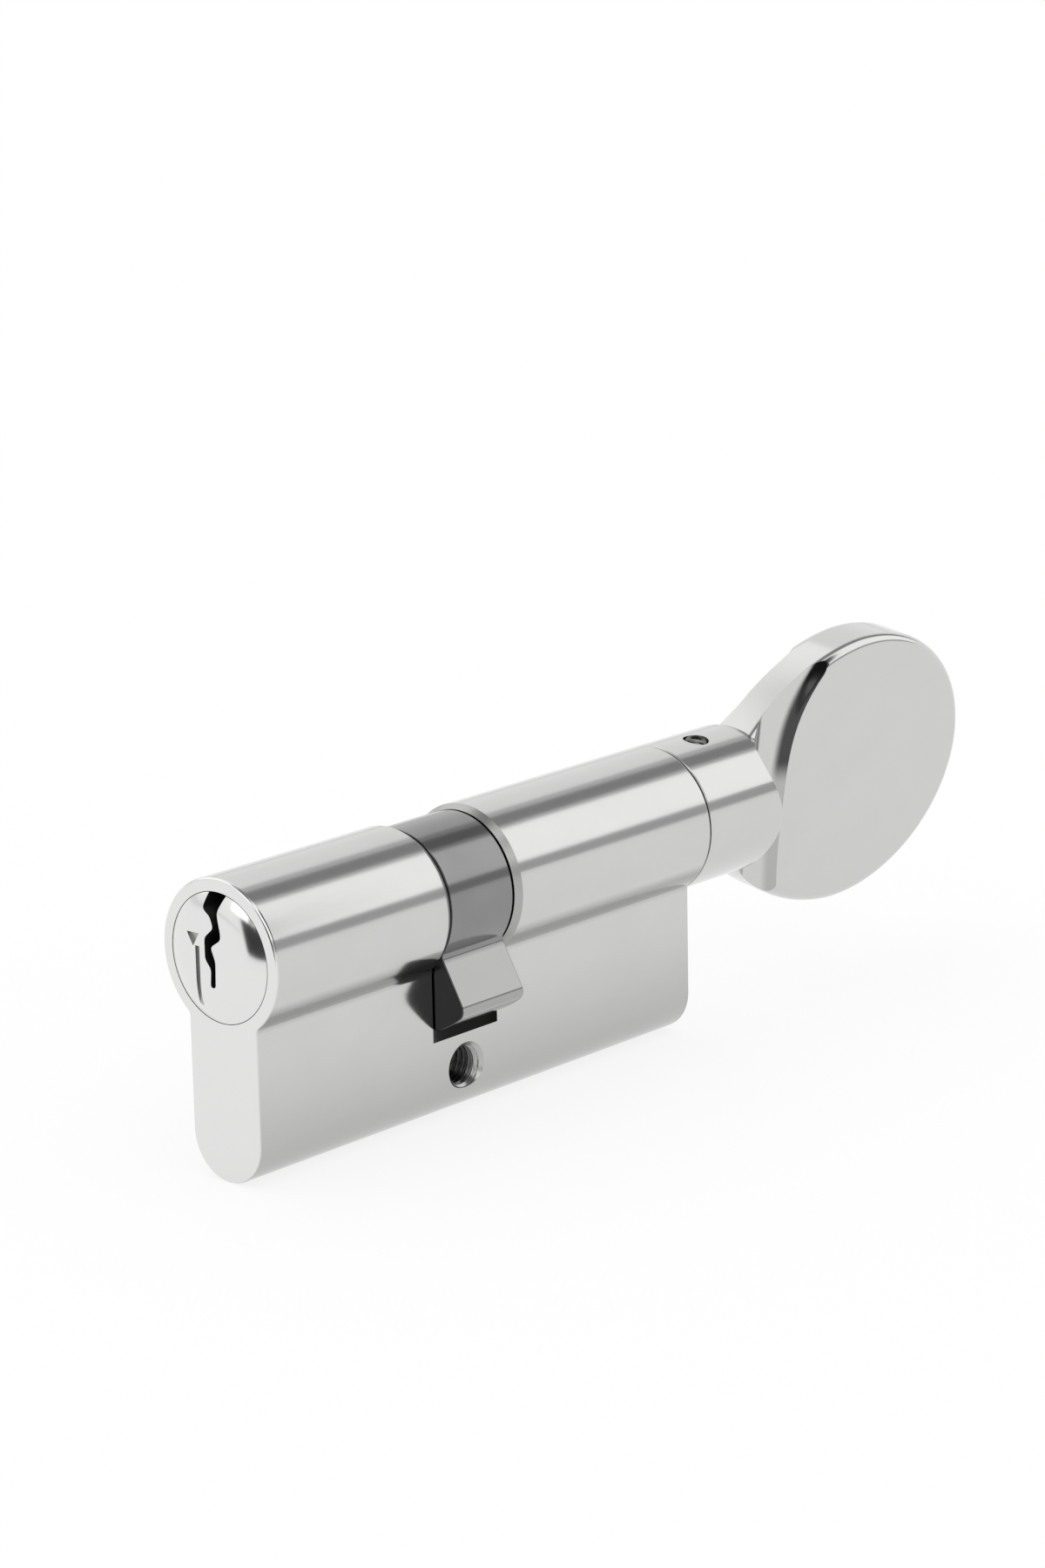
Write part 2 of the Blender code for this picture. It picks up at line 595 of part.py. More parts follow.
def cam_outline():
    """The cam, seen along X with its lever straight down: ring, hollow roots, straight sides and an end
    that is round about the same axis."""
    fillet, corner = CAM_LEVER_ROOT_FILLET, CAM_LEVER_CORNER
    hollow = CAM_LEVER_WIDTH / 2 + fillet
    inside = CAM_LEVER_WIDTH / 2 - corner
    hollow_drop = math.sqrt((CAM_RING_RADIUS + fillet) ** 2 - hollow**2)
    inside_drop = math.sqrt((CAM_LEVER_REACH - corner) ** 2 - inside**2)
    root = math.atan2(hollow_drop, hollow)
    end = math.atan2(inside_drop, inside)
    ring_arc = arc((0, 0), CAM_RING_RADIUS, -root, math.pi + root, BARREL_SEGMENTS)
    left = arc((-hollow, -hollow_drop), fillet, root, 0, FILLET_STEPS)
    left += arc((-inside, -inside_drop), corner, math.pi, math.pi + end, FILLET_STEPS)
    tip = arc((0, 0), CAM_LEVER_REACH, math.pi + end, 2 * math.pi - end, LEVER_END_SEGMENTS)
    right = [(-across, up) for across, up in reversed(left)]
    return ring_arc[:-1] + left + tip[1:-1] + right[:-1]


def make_cam():
    half = CAM_HALF
    swing = empty("lever_swing", TURN_AXIS, (-CAM_LEVER_SWING, 0, 0))
    cam = part(prism("cam", cam_outline(), -half, half, PARTS, swing), STEEL)
    far = half + CUT_OVERRUN
    wide, tall = DRIVE_SLOT_HALF, DRIVE_SLOT_RADIUS
    groove_middle = (FREE_GROOVE_START + FREE_GROOVE_END) / 2
    slot = box_mesh("drive_slots", (groove_middle, -wide, -tall), (far, wide, tall))
    cuts = [
        rod("cam_bore", -far, far, CAM_BORE_RADIUS, CUTTERS, TURN_AXIS),
        rod("key_side_recess", -far, -CAM_RECESS_FLOOR, CAM_RECESS_RADIUS, CUTTERS, TURN_AXIS),
        rod("knob_side_recess", CAM_RECESS_FLOOR, far, CAM_RECESS_RADIUS, CUTTERS, TURN_AXIS),
        rod("free_groove", FREE_GROOVE_START, FREE_GROOVE_END, DRIVE_SLOT_RADIUS, CUTTERS, TURN_AXIS),
        place("drive_slots", slot, CUTTERS, TURN_AXIS),
    ]
    cut_together(cam, cuts)


def make_coupling():
    """A disc with two wings that reach into the cam, and a tongue that stays in the plug's slot."""
    start, end = COUPLING_START, COUPLING_END
    coupling = part(rod("clutch_coupling", start, end, COUPLING_DISC_RADIUS, PARTS, PLUG_AXIS), HARD_STEEL)
    half, reach, inset = DRIVE_LUG_WIDTH / 2, DRIVE_LUG_RADIUS, COUPLING_WING_INSET
    wings = box_mesh("wings", (start + inset, -half, -reach), (end - inset, half, reach))
    tall = COUPLING_TONGUE_HEIGHT / 2
    root = start + COUPLING_ROOT_OVERLAP
    tongue = box_mesh("tongue", (TONGUE_END, -half, -tall), (root, half, tall))
    for name, mesh in (("coupling_wings", wings), ("coupling_tongue", tongue)):
        cut(coupling, cutter(place(name, mesh, CUTTERS, PLUG_AXIS)), "UNION")
    clear = SEAT_GAP + SPRING_WIRE_RADIUS
    turns = COUPLING_SPRING_TURNS
    coil = coil_points(COUPLING_SPRING_RADIUS, end + clear, SPIGOT_END - clear, turns, along_x=True)
    spring("clutch_spring", coil, TURN_AXIS)


def make_spindle():
    groove_near, groove_far = CIRCLIP_GROOVE
    brake_near = BRAKE_POSITION - BRAKE_GROOVE_HALF_WIDTH
    brake_far = BRAKE_POSITION + BRAKE_GROOVE_HALF_WIDTH
    shoulder = KNOB_FACE - SEAT_GAP
    profile = [
        (STUB_END, 0),
        (STUB_END, SPIGOT_RADIUS),
        (shoulder, SPIGOT_RADIUS),
        (shoulder, ROTOR_RADIUS),
        (brake_far, ROTOR_RADIUS),
        (brake_far, BRAKE_GROOVE_RADIUS),
        (brake_near, BRAKE_GROOVE_RADIUS),
        (brake_near, ROTOR_RADIUS),
        (groove_far, ROTOR_RADIUS),
        (groove_far, CIRCLIP_GROOVE_RADIUS),
        (groove_near, CIRCLIP_GROOVE_RADIUS),
        (groove_near, ROTOR_RADIUS),
        (ROTOR_END, ROTOR_RADIUS),
        (ROTOR_END, SPIGOT_RADIUS),
        (SPIGOT_END, SPIGOT_RADIUS),
        (SPIGOT_END, 0),
    ]
    spindle = part(turned("turn_spindle", profile, PARTS, TURN_AXIS), BRASS)
    half, reach, inset = DRIVE_LUG_WIDTH / 2, DRIVE_LUG_RADIUS, SPIGOT_LUG_INSET
    lugs = box_mesh("spindle_lugs", (SPIGOT_END + inset, -half, -reach), (ROTOR_END + inset, half, reach))
    cut(spindle, cutter(place("spindle_lugs", lugs, CUTTERS, TURN_AXIS)), "UNION")
    wide = SPIGOT_RADIUS + CUT_OVERRUN
    flat = box_mesh("stub_flat", (COLLAR_START, -wide, STUB_FLAT), (STUB_END + CUT_OVERRUN, wide, wide))
    cut(spindle, cutter(place("stub_flat", flat, CUTTERS, KNOB_FRAME)))


def make_brake():
    """A sprung ball that rides in the spindle's groove, so that the knob stays where it is left."""
    radius = BRAKE_BALL_RADIUS
    centre = -BRAKE_GROOVE_RADIUS - SEAT_GAP - radius
    mesh = bpy.data.meshes.new("brake_ball")
    shape = bmesh.new()
    bmesh.ops.create_uvsphere(shape, u_segments=BALL_SEGMENTS, v_segments=BALL_RINGS, radius=radius)
    shape.to_mesh(mesh)
    shape.free()
    part(place("brake_ball", mesh, PARTS, HOUSING, (BRAKE_POSITION, 0, centre)), HARD_STEEL)
    coil = chamber_coil(centre - radius, BRAKE_SPRING_TURNS)
    spring("brake_spring", coil, HOUSING, (BRAKE_POSITION, 0, 0))
    chamber_plug("brake_plug", BRAKE_POSITION)


def knob_outline():
    """The plate's oval outline: two half ellipses, the longer and more pointed one towards the collar."""
    points = []
    for i in range(KNOB_SEGMENTS):
        angle = 2 * math.pi * i / KNOB_SEGMENTS
        along, up = math.cos(angle), math.sin(angle)
        outer = along >= 0
        power = 2 / (KNOB_OUTER_SQUARENESS if outer else KNOB_INNER_SQUARENESS)
        run = KNOB_OUTER_RUN if outer else -KNOB_INNER_RUN
        height = KNOB_HALF_HEIGHT * abs(up) ** power
        points.append((PLATE_WIDEST + run * abs(along) ** power, math.copysign(height, up)))
    return points


def make_knob():
    upright = (math.pi / 2, 0, 0)
    half, past = KNOB_HALF_THICKNESS, CUT_OVERRUN
    knob = part(prism("thumbturn_knob", knob_outline(), -half, half, PARTS, KNOB_FRAME, upright), NICKEL)
    edge = knob.modifiers.new("edge", "BEVEL")
    edge.width = KNOB_EDGE
    edge.segments = KNOB_EDGE_STEPS
    edge.limit_method = "ANGLE"
    edge.angle_limit = KNOB_EDGE_ANGLE
    collar = rod("knob_collar", COLLAR_START, COVE_PLACE, BARREL_RADIUS, CUTTERS, KNOB_FRAME)
    cut(knob, cutter(collar), "UNION")
    tall, hole_top = KNOB_HALF_HEIGHT + past, BARREL_RADIUS + past
    cove = cone_mesh("cove", -tall, tall, COVE_RADIUS, COVE_RADIUS, COVE_SEGMENTS)
    hole = cone_mesh("set_screw_hole", 0, hole_top, SET_SCREW_HOLE_RADIUS, SET_SCREW_HOLE_RADIUS)
    bore_end = STUB_END + SEAT_GAP
    tools = [
        place("front_cove", cove, CUTTERS, KNOB_FRAME, (COVE_PLACE, -COVE_SIDE, 0)),
        place("back_cove", cove, CUTTERS, KNOB_FRAME, (COVE_PLACE, COVE_SIDE, 0)),
        rod("knob_bore", COLLAR_START - past, bore_end, STUB_BORE_RADIUS, CUTTERS, KNOB_FRAME),
        place("set_screw_hole", hole, CUTTERS, KNOB_FRAME, (SET_SCREW_PLACE, 0, 0)),
    ]
    cut_together(knob, tools)


def make_set_screw():
    """The socket screw in the collar that presses on the spindle's flat."""
    at = (SET_SCREW_PLACE, 0, 0)
    head = BARREL_RADIUS - SET_SCREW_SINK
    radius = SET_SCREW_HOLE_RADIUS - SLIDING_CLEARANCE
    mesh = cone_mesh("knob_set_screw", STUB_FLAT + SEAT_GAP, head, radius, radius)
    screw = part(place("knob_set_screw", mesh, PARTS, KNOB_FRAME, at), STEEL)
    floor, top = head - SET_SCREW_SOCKET_DEPTH, head + CUT_OVERRUN
    wide, sides = SET_SCREW_SOCKET_RADIUS, SET_SCREW_SOCKET_SIDES
    socket = cone_mesh("set_screw_socket", floor, top, wide, wide, sides)
    cut(screw, cutter(place("set_screw_socket", socket, CUTTERS, KNOB_FRAME, at)))


clear_scene()
PARTS = collection("euro_cylinder")
CUTTERS = collection("cutters")
HOUSING = empty("housing")
PLUG_AXIS = empty("key_plug_axis")
TURN_AXIS = empty("turn_axis")
KNOB_FRAME = empty("knob_frame", TURN_AXIS, (KNOB_TURN, 0, 0))
make_body()
make_key_plug()
make_circlip("plug_circlip", -1, PLUG_AXIS)
make_pin_stacks()
make_cam()
make_coupling()
make_spindle()
make_circlip("spindle_circlip", 1, TURN_AXIS)
make_brake()
make_knob()
make_set_screw()
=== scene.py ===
# %% [markdown]
# # A euro profile cylinder with a thumbturn
# This lesson dresses a packed lock cylinder for a photograph. The imported model gives each piece's place
# and motion. Here each piece gets its fine surface and its metal finish, and the scene gets a camera,
# a pale floor and studio cards whose reflections draw the stripes that polished nickel shows.
#
# The imported model is loaded first. Its box is kept.

# %% Load the imported model
import math

import bmesh
import bpy
import numpy as np
from mathutils import Matrix, Vector


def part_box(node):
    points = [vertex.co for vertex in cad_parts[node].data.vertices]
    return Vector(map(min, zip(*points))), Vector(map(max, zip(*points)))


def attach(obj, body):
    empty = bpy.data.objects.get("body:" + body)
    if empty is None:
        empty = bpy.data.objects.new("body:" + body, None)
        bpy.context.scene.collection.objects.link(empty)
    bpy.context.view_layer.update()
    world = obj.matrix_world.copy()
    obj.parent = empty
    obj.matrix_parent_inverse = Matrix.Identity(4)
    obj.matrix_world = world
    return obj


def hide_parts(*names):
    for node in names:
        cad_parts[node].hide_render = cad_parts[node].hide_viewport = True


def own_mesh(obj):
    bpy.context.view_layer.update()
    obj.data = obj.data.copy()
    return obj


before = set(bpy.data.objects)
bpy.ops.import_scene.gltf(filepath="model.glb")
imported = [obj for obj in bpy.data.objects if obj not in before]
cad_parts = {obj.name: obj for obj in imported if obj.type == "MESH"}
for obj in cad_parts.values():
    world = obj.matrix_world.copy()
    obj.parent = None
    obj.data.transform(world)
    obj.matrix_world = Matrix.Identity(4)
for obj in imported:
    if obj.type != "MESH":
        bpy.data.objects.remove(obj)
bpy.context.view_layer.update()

MM = 0.001
TAU = 2 * math.pi
QUARTER = math.pi / 2

# %% [markdown]
# ## Places from the model
# The X axis is the axis that everything turns about. The key side is at -X and the knob at +X. The
# boxes of a few nodes give the main places, so nothing here is measured twice.

# %% Read the main places
def corners(node):
    """The lowest and the highest corner of a node, as two arrays."""
    low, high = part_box(node)
    return np.array(low), np.array(high)


def node_middle(node):
    """The middle of a node's box."""
    low, high = corners(node)
    return (low + high) / 2


def span(node, axis):
    """Where a node starts and ends along one axis."""
    low, high = corners(node)
    return low[axis], high[axis]


BODY_LOW, BODY_HIGH = corners("cylinder_body")
PLUG_LOW, PLUG_HIGH = corners("key_plug")
CAM_HIGH = corners("cam")[1]
KNOB_LOW, KNOB_HIGH = corners("thumbturn_knob")
KEY_FACE, KNOB_FACE = BODY_LOW[0], BODY_HIGH[0]
BODY_BOTTOM = BODY_LOW[2]
BARREL = BODY_HIGH[2]
COLLAR_SEAT, KNOB_TIP = KNOB_LOW[0], KNOB_HIGH[0]
FLANGE_HALF = 5 * MM
SLOT_HALF = 5 * MM
PIN_COUNT = sum(name.startswith("key_pin_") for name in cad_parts)
print("body length mm:", round((KNOB_FACE - KEY_FACE) / MM, 1), "pins:", PIN_COUNT)

# %% [markdown]
# ## Shader values that do arithmetic
# Metal finishes are small sums: a tone plus a little grain. Nodes could be wired one by one, but then
# the sum is hard to read. A class that wraps a socket and overloads the operators lets the sum be
# written as Python, and each operation adds its Math node.

# %% Wrap sockets and materials
class Value:
    """A shader socket. Arithmetic on it adds Math nodes to its finish."""

    def __init__(self, finish, socket):
        self.finish = finish
        self.socket = socket

    def maths(self, operation, *operands):
        return self.finish.node("ShaderNodeMath", {"operation": operation}, dict(enumerate(operands)))

    def __add__(self, other):
        return self.maths("ADD", self, other)

    def __sub__(self, other):
        return self.maths("SUBTRACT", self, other)

    def __mul__(self, other):
        return self.maths("MULTIPLY", self, other)

    def __abs__(self):
        return self.maths("ABSOLUTE", self)

    __radd__ = __add__
    __rmul__ = __mul__

    def between(self, low, high):
        """A smooth step: 0 below low, 1 above high."""
        sockets = {"Value": self, "From Min": low, "From Max": high}
        return self.finish.node("ShaderNodeMapRange", {"interpolation_type": "SMOOTHSTEP"}, sockets)


class Finish:
    """A metal under construction. node() adds any node and returns one of its outputs."""

    def __init__(self, name):
        self.material = bpy.data.materials.new(name)
        self.material.use_nodes = True
        self.tree = self.material.node_tree
        self.shader = self.tree.nodes["Principled BSDF"]
        self.shader.inputs["Metallic"].default_value = 1.0
        self.place = self.node("ShaderNodeTexCoord", output="Object")

    def node(self, kind, settings=None, sockets=None, output=0):
        made = self.tree.nodes.new(kind)
        for name, value in (settings or {}).items():
            setattr(made, name, value)
        self.feed(made, sockets or {})
        return Value(self, made.outputs[output])

    def feed(self, node, sockets):
        for name, value in sockets.items():
            if isinstance(value, Value):
                self.tree.links.new(value.socket, node.inputs[name])
            else:
                node.inputs[name].default_value = value

    def noise(self, per_metre, detail=2.0):
        """Noise from 0 to 1, with its own number of features per metre along X, Y and Z."""
        stretched = self.node("ShaderNodeMapping", None, {"Vector": self.place, "Scale": per_metre})
        sockets = {"Vector": stretched, "Scale": 1.0, "Detail": detail}
        return self.node("ShaderNodeTexNoise", None, sockets)

    def axis(self, name):
        """The place along X, Y or Z."""
        return self.node("ShaderNodeSeparateXYZ", None, {"Vector": self.place}, output=name)

    def blend(self, amount, first, second):
        """A colour from first to second as amount goes from 0 to 1."""
        settings = {"data_type": "RGBA"}
        colours = [value if isinstance(value, Value) else (*value, 1.0) for value in (first, second)]
        # A Mix node keeps its colour sockets after its number and vector sockets
        return self.node("ShaderNodeMix", settings, {0: amount, 6: colours[0], 7: colours[1]}, output=2)

    def bump(self, height, strength, depth):
        sockets = {"Height": height, "Strength": strength, "Distance": depth}
        return self.node("ShaderNodeBump", None, sockets)

    def set(self, **sockets):
        """Feeds the shader: base_color=... goes to the socket Base Color."""
        self.feed(self.shader, {name.replace("_", " ").title(): value for name, value in sockets.items()})
        return self.material


# %% [markdown]
# ## Metal finishes
# The cylinder's brass is plated with nickel and polished, so it is a bright grey that mirrors the
# studio. Real plating is never quite even: the tone drifts over a few millimetres, and fine drawing
# marks run along the barrel. Both come from noise in Object coordinates, stretched along X for the
# marks.
#
# The tone darkens a little towards the flange's lower end, a painted shade that stands in for the floor's
# shadow seen in reflection. A painted shade line runs along the corner where the barrel meets the flange.
# The flat end faces are turned on a lathe after the drawing, and they are painted paler, a painted sheen
# that stands in for their brighter reflection. Masks on the place along Z and X find these regions. Each
# mask is a smooth step between two places.

# %% Nickel for the body
DRIFT_PER_METRE = (140, 210, 210)
MARKS_PER_METRE = (250, 5200, 5200)
MARK_DEPTH = 0.01 * MM
MARK_STRENGTH = 0.06
BODY_MIDDLE = (KEY_FACE + KNOB_FACE) / 2
BODY_HALF = (KNOB_FACE - KEY_FACE) / 2
PAINTED_SHADE_TOP = -9 * MM
CORNER_DROP = 5.6 * MM
CORNER_PAINTED_SHADE_SPREAD = (0.3 * MM, 2.0 * MM)
END_FACE_PAINTED_SHEEN = (BODY_HALF - 0.3 * MM, BODY_HALF - 0.05 * MM)


def drawn_metal(name, dark, light, roughness, spread):
    """Drifting tone from dark to light, with fine marks in the roughness and the height."""
    finish = Finish(name)
    drift = finish.noise(DRIFT_PER_METRE)
    grain = finish.noise(MARKS_PER_METRE, 3.0)
    finish.tone = finish.blend(drift, dark, light)
    rough = roughness + spread * (grain - 0.5)
    finish.set(roughness=rough, normal=finish.bump(grain, MARK_STRENGTH, MARK_DEPTH))
    finish.set(base_color=finish.tone)
    return finish


def satin_nickel():
    finish = drawn_metal("satin_nickel", (0.575, 0.575, 0.57), (0.615, 0.615, 0.61), 0.15, 0.05)
    up = finish.axis("Z")
    # Painted shade: darker towards the flange's lower end, standing in for the floor's shadow seen in
    # reflection
    low_painted_shade = finish.blend(up.between(BODY_BOTTOM, PAINTED_SHADE_TOP), (0.46, 0.46, 0.455), finish.tone)
    # Painted shade: a darker line along the corner where the barrel meets the flange
    from_corner = abs(up + CORNER_DROP).between(*CORNER_PAINTED_SHADE_SPREAD)
    corner_painted_shade = finish.blend(from_corner, (0.34, 0.34, 0.335), low_painted_shade)
    # Painted sheen: the flat end faces are painted paler, standing in for their brighter reflection
    face = abs(finish.axis("X") - BODY_MIDDLE).between(*END_FACE_PAINTED_SHEEN)
    return finish.set(base_color=finish.blend(face, corner_painted_shade, (0.76, 0.76, 0.755)))


# %% [markdown]
# The knob is cast and polished too, without the body's painted corner shade. Its front cove has a steep
# wall, which is painted dark, a painted shade, darkest in its upper half. That painted shade has to know
# where the cove is milled, so the cove's height and the lead of its edge are named here, and the knob's
# own section uses them again.

# %% Nickel for the knob, and cut edges
COVE_TALL = 18.5 * MM
COVE_LEAD_UP = 12.0 * MM
COVE_LEAD_DOWN = 2.5 * MM
COVE_WALL = (17.2 * MM, 18.2 * MM)
COVE_UPPER = (0.5 * MM, 3.5 * MM)
THREAD_SHADE_FADE = (2.9 * MM, 4.7 * MM)


def knob_nickel():
    return drawn_metal("knob_nickel", (0.585, 0.585, 0.58), (0.61, 0.61, 0.605), 0.14, 0.04).material


def cove_painted_shade():
    """Bright in the hollow, and a painted shade on the wall under the plate's edge, darkest in the upper
    half. The edge is led outwards by the cube of the height, so the same cube is taken off the place along
    X."""
    finish = drawn_metal("cove_painted_shade", (0.585, 0.585, 0.58), (0.61, 0.61, 0.605), 0.16, 0.05)
    up = finish.axis("Z")
    part_way = abs(up) * (1 / COVE_TALL)
    upper = up.between(*COVE_UPPER)
    lead = upper * (COVE_LEAD_UP - COVE_LEAD_DOWN) + COVE_LEAD_DOWN
    led = part_way * part_way * part_way * lead
    wall = (finish.axis("X") - COLLAR_SEAT - led).between(*COVE_WALL)
    # Painted shade on the cove's wall, darkest in the upper half
    wall_painted_shade = finish.blend(upper, (0.44, 0.44, 0.435), (0.07, 0.07, 0.07))
    return finish.set(base_color=finish.blend(wall, finish.tone, wall_painted_shade))


def cut_nickel():
    """Edges, grooves and threads that a tool cut before the plating: a duller grey."""
    return drawn_metal("cut_nickel", (0.36, 0.36, 0.355), (0.46, 0.46, 0.455), 0.3, 0.12).material


def thread_painted_shade():
    """The thread is bright at its mouths and painted dark in the middle of the flange, a painted shade."""
    finish = drawn_metal("thread_painted_shade", (0.42, 0.42, 0.415), (0.50, 0.50, 0.495), 0.26, 0.10)
    mouth = abs(finish.axis("Y")).between(*THREAD_SHADE_FADE)
    # Painted shade: the thread is painted dark away from its mouths
    return finish.set(base_color=finish.blend(mouth, (0.05, 0.05, 0.05), finish.tone))


# %% [markdown]
# Inside the slots and bores the metal is painted dark, a painted shade. The slot is bright where it cuts
# the barrel and painted dark below, a painted shade where it cuts the flange. The cam is dark steel,
# ground
# smooth: its lever is painted paler, a painted highlight, and its end faces are painted near black, a
# painted shade.

# %% Steel, brass and the insides
SLOT_PAINTED_SHADE_TOP = (-7.2 * MM, -6.4 * MM)
CAM_FACE_PAINTED_SHADE = (CAM_HIGH[0] - 0.22 * MM, CAM_HIGH[0] - 0.06 * MM)
LEVER_HIGHLIGHT_FROM = 8.3 * MM
LEVER_HIGHLIGHT_WHOLE = 9.0 * MM


def bore_metal():
    # Painted shade: the insides of slots and bores are painted dark
    return drawn_metal("bore_painted_shade", (0.10, 0.10, 0.10), (0.17, 0.165, 0.16), 0.42, 0.16).material


def slot_metal():
    finish = drawn_metal("slot_walls_painted_shade", (0.50, 0.50, 0.495), (0.56, 0.56, 0.555), 0.22, 0.10)
    above_painted_shade = finish.axis("Z").between(*SLOT_PAINTED_SHADE_TOP)
    # Painted shade: the walls are painted near black below the barrel, where they cut the flange
    return finish.set(base_color=finish.blend(above_painted_shade, (0.07, 0.07, 0.068), finish.tone))


def cam_steel():
    finish = drawn_metal("dark_steel", (0.23, 0.23, 0.23), (0.28, 0.28, 0.278), 0.15, 0.06)
    painted_shade_face = abs(finish.axis("X")).between(*CAM_FACE_PAINTED_SHADE)
    across, up = finish.axis("Y"), finish.axis("Z")
    # Painted highlight: the lever is painted paler than the ring
    lever = (across * across + up * up).between(LEVER_HIGHLIGHT_FROM**2, LEVER_HIGHLIGHT_WHOLE**2)
    lever_painted_light = finish.blend(lever, finish.tone, (0.38, 0.38, 0.375))
    # Painted shade: the cam's end faces are painted near black
    return finish.set(base_color=finish.blend(painted_shade_face, lever_painted_light, (0.045, 0.045, 0.045)))


def hard_steel():
    return drawn_metal("hardened_steel", (0.36, 0.36, 0.37), (0.44, 0.44, 0.45), 0.26, 0.10).material


def spring_steel():
    return drawn_metal("spring_steel", (0.46, 0.46, 0.45), (0.58, 0.58, 0.57), 0.28, 0.10).material


def turned_brass():
    return drawn_metal("bright_brass", (0.70, 0.50, 0.22), (0.82, 0.63, 0.32), 0.24, 0.12).material


NICKEL = satin_nickel()
KNOB_NICKEL = knob_nickel()
COVE_PAINTED_SHADE_NICKEL = cove_painted_shade()
CUT_NICKEL = cut_nickel()
THREAD_PAINTED_SHADE_NICKEL = thread_painted_shade()
BORE_PAINTED_SHADE = bore_metal()
SLOT_WALLS = slot_metal()
CAM_STEEL = cam_steel()
HARD_STEEL = hard_steel()
SPRING_STEEL = spring_steel()
BRASS = turned_brass()
print("finishes:", [material.name for material in (NICKEL, BORE_PAINTED_SHADE, CAM_STEEL, BRASS)])

# %% [markdown]
# ## Surfaces from rows of points
# Almost every piece here is a ring of points carried along a path: a turned pin, an outline drawn
# along the barrel, a wire along a helix. So one function makes a closed mesh from rows of points,
# and the rest only work out where the points go, as whole arrays.

# %% Closed meshes from arrays
SHARP_ANGLE = math.radians(32)
EASE_STEPS = 5
SHORT_SIDE = 0.45


def skin(name, rows, finish):
    """A closed solid. Row i's ring is joined to ring i + 1 by quads, and both end rings are filled."""
    count, width = rows.shape[:2]
    i, j = np.meshgrid(np.arange(count - 1) * width, np.arange(width), indexing="ij")
    k = (j + 1) % width
    quads = np.stack([i + j, i + k, i + width + k, i + width + j], axis=-1).reshape(-1, 4)
    ends = [list(range(width)), list(range((count - 1) * width, count * width))]
    mesh = bpy.data.meshes.new(name)
    mesh.from_pydata(rows.reshape(-1, 3).tolist(), [], quads.tolist() + ends)
    shape = bmesh.new()
    shape.from_mesh(mesh)
    bmesh.ops.recalc_face_normals(shape, faces=shape.faces)
    shape.to_mesh(mesh)
    shape.free()
    mesh.materials.append(finish)
    return bpy.data.objects.new(name, mesh)


def circle(angles):
    """Points on the unit circle."""
    return np.stack([np.cos(angles), np.sin(angles)], axis=-1)


def turned(name, profile, finish, sides=96):
    """A profile of (place along X, radius) turned about X: at angle a its point is at
    (x, r cos a, r sin a)."""
    along, radius = np.array(profile).T
    ring = circle(np.linspace(0, TAU, sides, endpoint=False))
    flat = radius[:, None, None] * ring[None]
    place = np.broadcast_to(along[:, None, None], (len(along), sides, 1))
    return skin(name, np.concatenate([place, flat], axis=-1), finish)


def bend(start, corner, end, steps=7):
    """A parabola from start to end that is drawn towards a corner: the mean of the three points with
    the weights (1 - t)^2, 2t(1 - t) and t^2."""
    t = np.linspace(0, 1, steps)[:, None]
    return (1 - t) ** 2 * np.array(start) + 2 * t * (1 - t) * np.array(corner) + t**2 * np.array(end)


def eased(points, reach, closed=False):
    """A polyline with each corner bent over `reach`, or over less than half of a short side."""
    corner = np.array(points, dtype=float)
    arms = []
    for step in (1, -1):
        side = np.roll(corner, step, axis=0) - corner
        length = np.linalg.norm(side, axis=1, keepdims=True)
        arms.append(side / length * np.minimum(reach, SHORT_SIDE * length))
    t = np.linspace(0, 1, EASE_STEPS)[None, :, None]
    curve = corner[:, None] + (1 - t) ** 2 * arms[0][:, None] + t**2 * arms[1][:, None]
    if closed:
        return curve.reshape(-1, 2)
    return np.vstack([corner[:1], curve[1:-1].reshape(-1, 2), corner[-1:]])


def drawn(outline, start, end, edge, steps=7):
    """A closed outline carried from start to end, drawn in near both ends by a quarter circle of the
    radius `edge`. Rows hold (place along the path, across, up)."""
    t = np.linspace(0, QUARTER, steps)
    inset = edge * (1 - np.sin(t))
    back = edge * (1 - np.cos(t))
    tangent = np.roll(outline, -1, axis=0) - np.roll(outline, 1, axis=0)
    outward = np.stack([tangent[:, 1], -tangent[:, 0]], axis=-1)
    outward /= np.linalg.norm(outward, axis=1, keepdims=True)
    along = np.concatenate([start + back, end - back[::-1]])
    inset = np.concatenate([inset, inset[::-1]])
    flat = outline[None] - inset[:, None, None] * outward[None]
    place = np.broadcast_to(along[:, None, None], (*flat.shape[:2], 1))
    return np.concatenate([place, flat], axis=-1)


def carried(name, outline, start, end, finish):
    """A closed (y, z) outline carried straight along X."""
    rows = [np.column_stack([np.full(len(outline), along), outline]) for along in (start, end)]
    return skin(name, np.array(rows), finish)


# %% [markdown]
# ## Cutting, finishing and hanging a piece on its body
# Slots and bores are cut with Boolean modifiers, as a mill would. All of a piece's cutters go into one
# collection and one modifier, the result is kept as the mesh, and the cutters go. A cut face takes
# its cutter's finish. Smooth shading bends the light on a flat face next to a rounded edge, so a
# Weighted Normal modifier lets the larger face decide.

# %% Cut, finish and place pieces
PAST = 2 * MM
BAR_EDGE = 0.12 * MM


def keep_result(piece):
    """Puts what the modifiers make into the piece's own mesh."""
    graph = bpy.context.evaluated_depsgraph_get()
    made = bpy.data.meshes.new_from_object(piece.evaluated_get(graph), depsgraph=graph)
    piece.modifiers.clear()
    piece.data = made


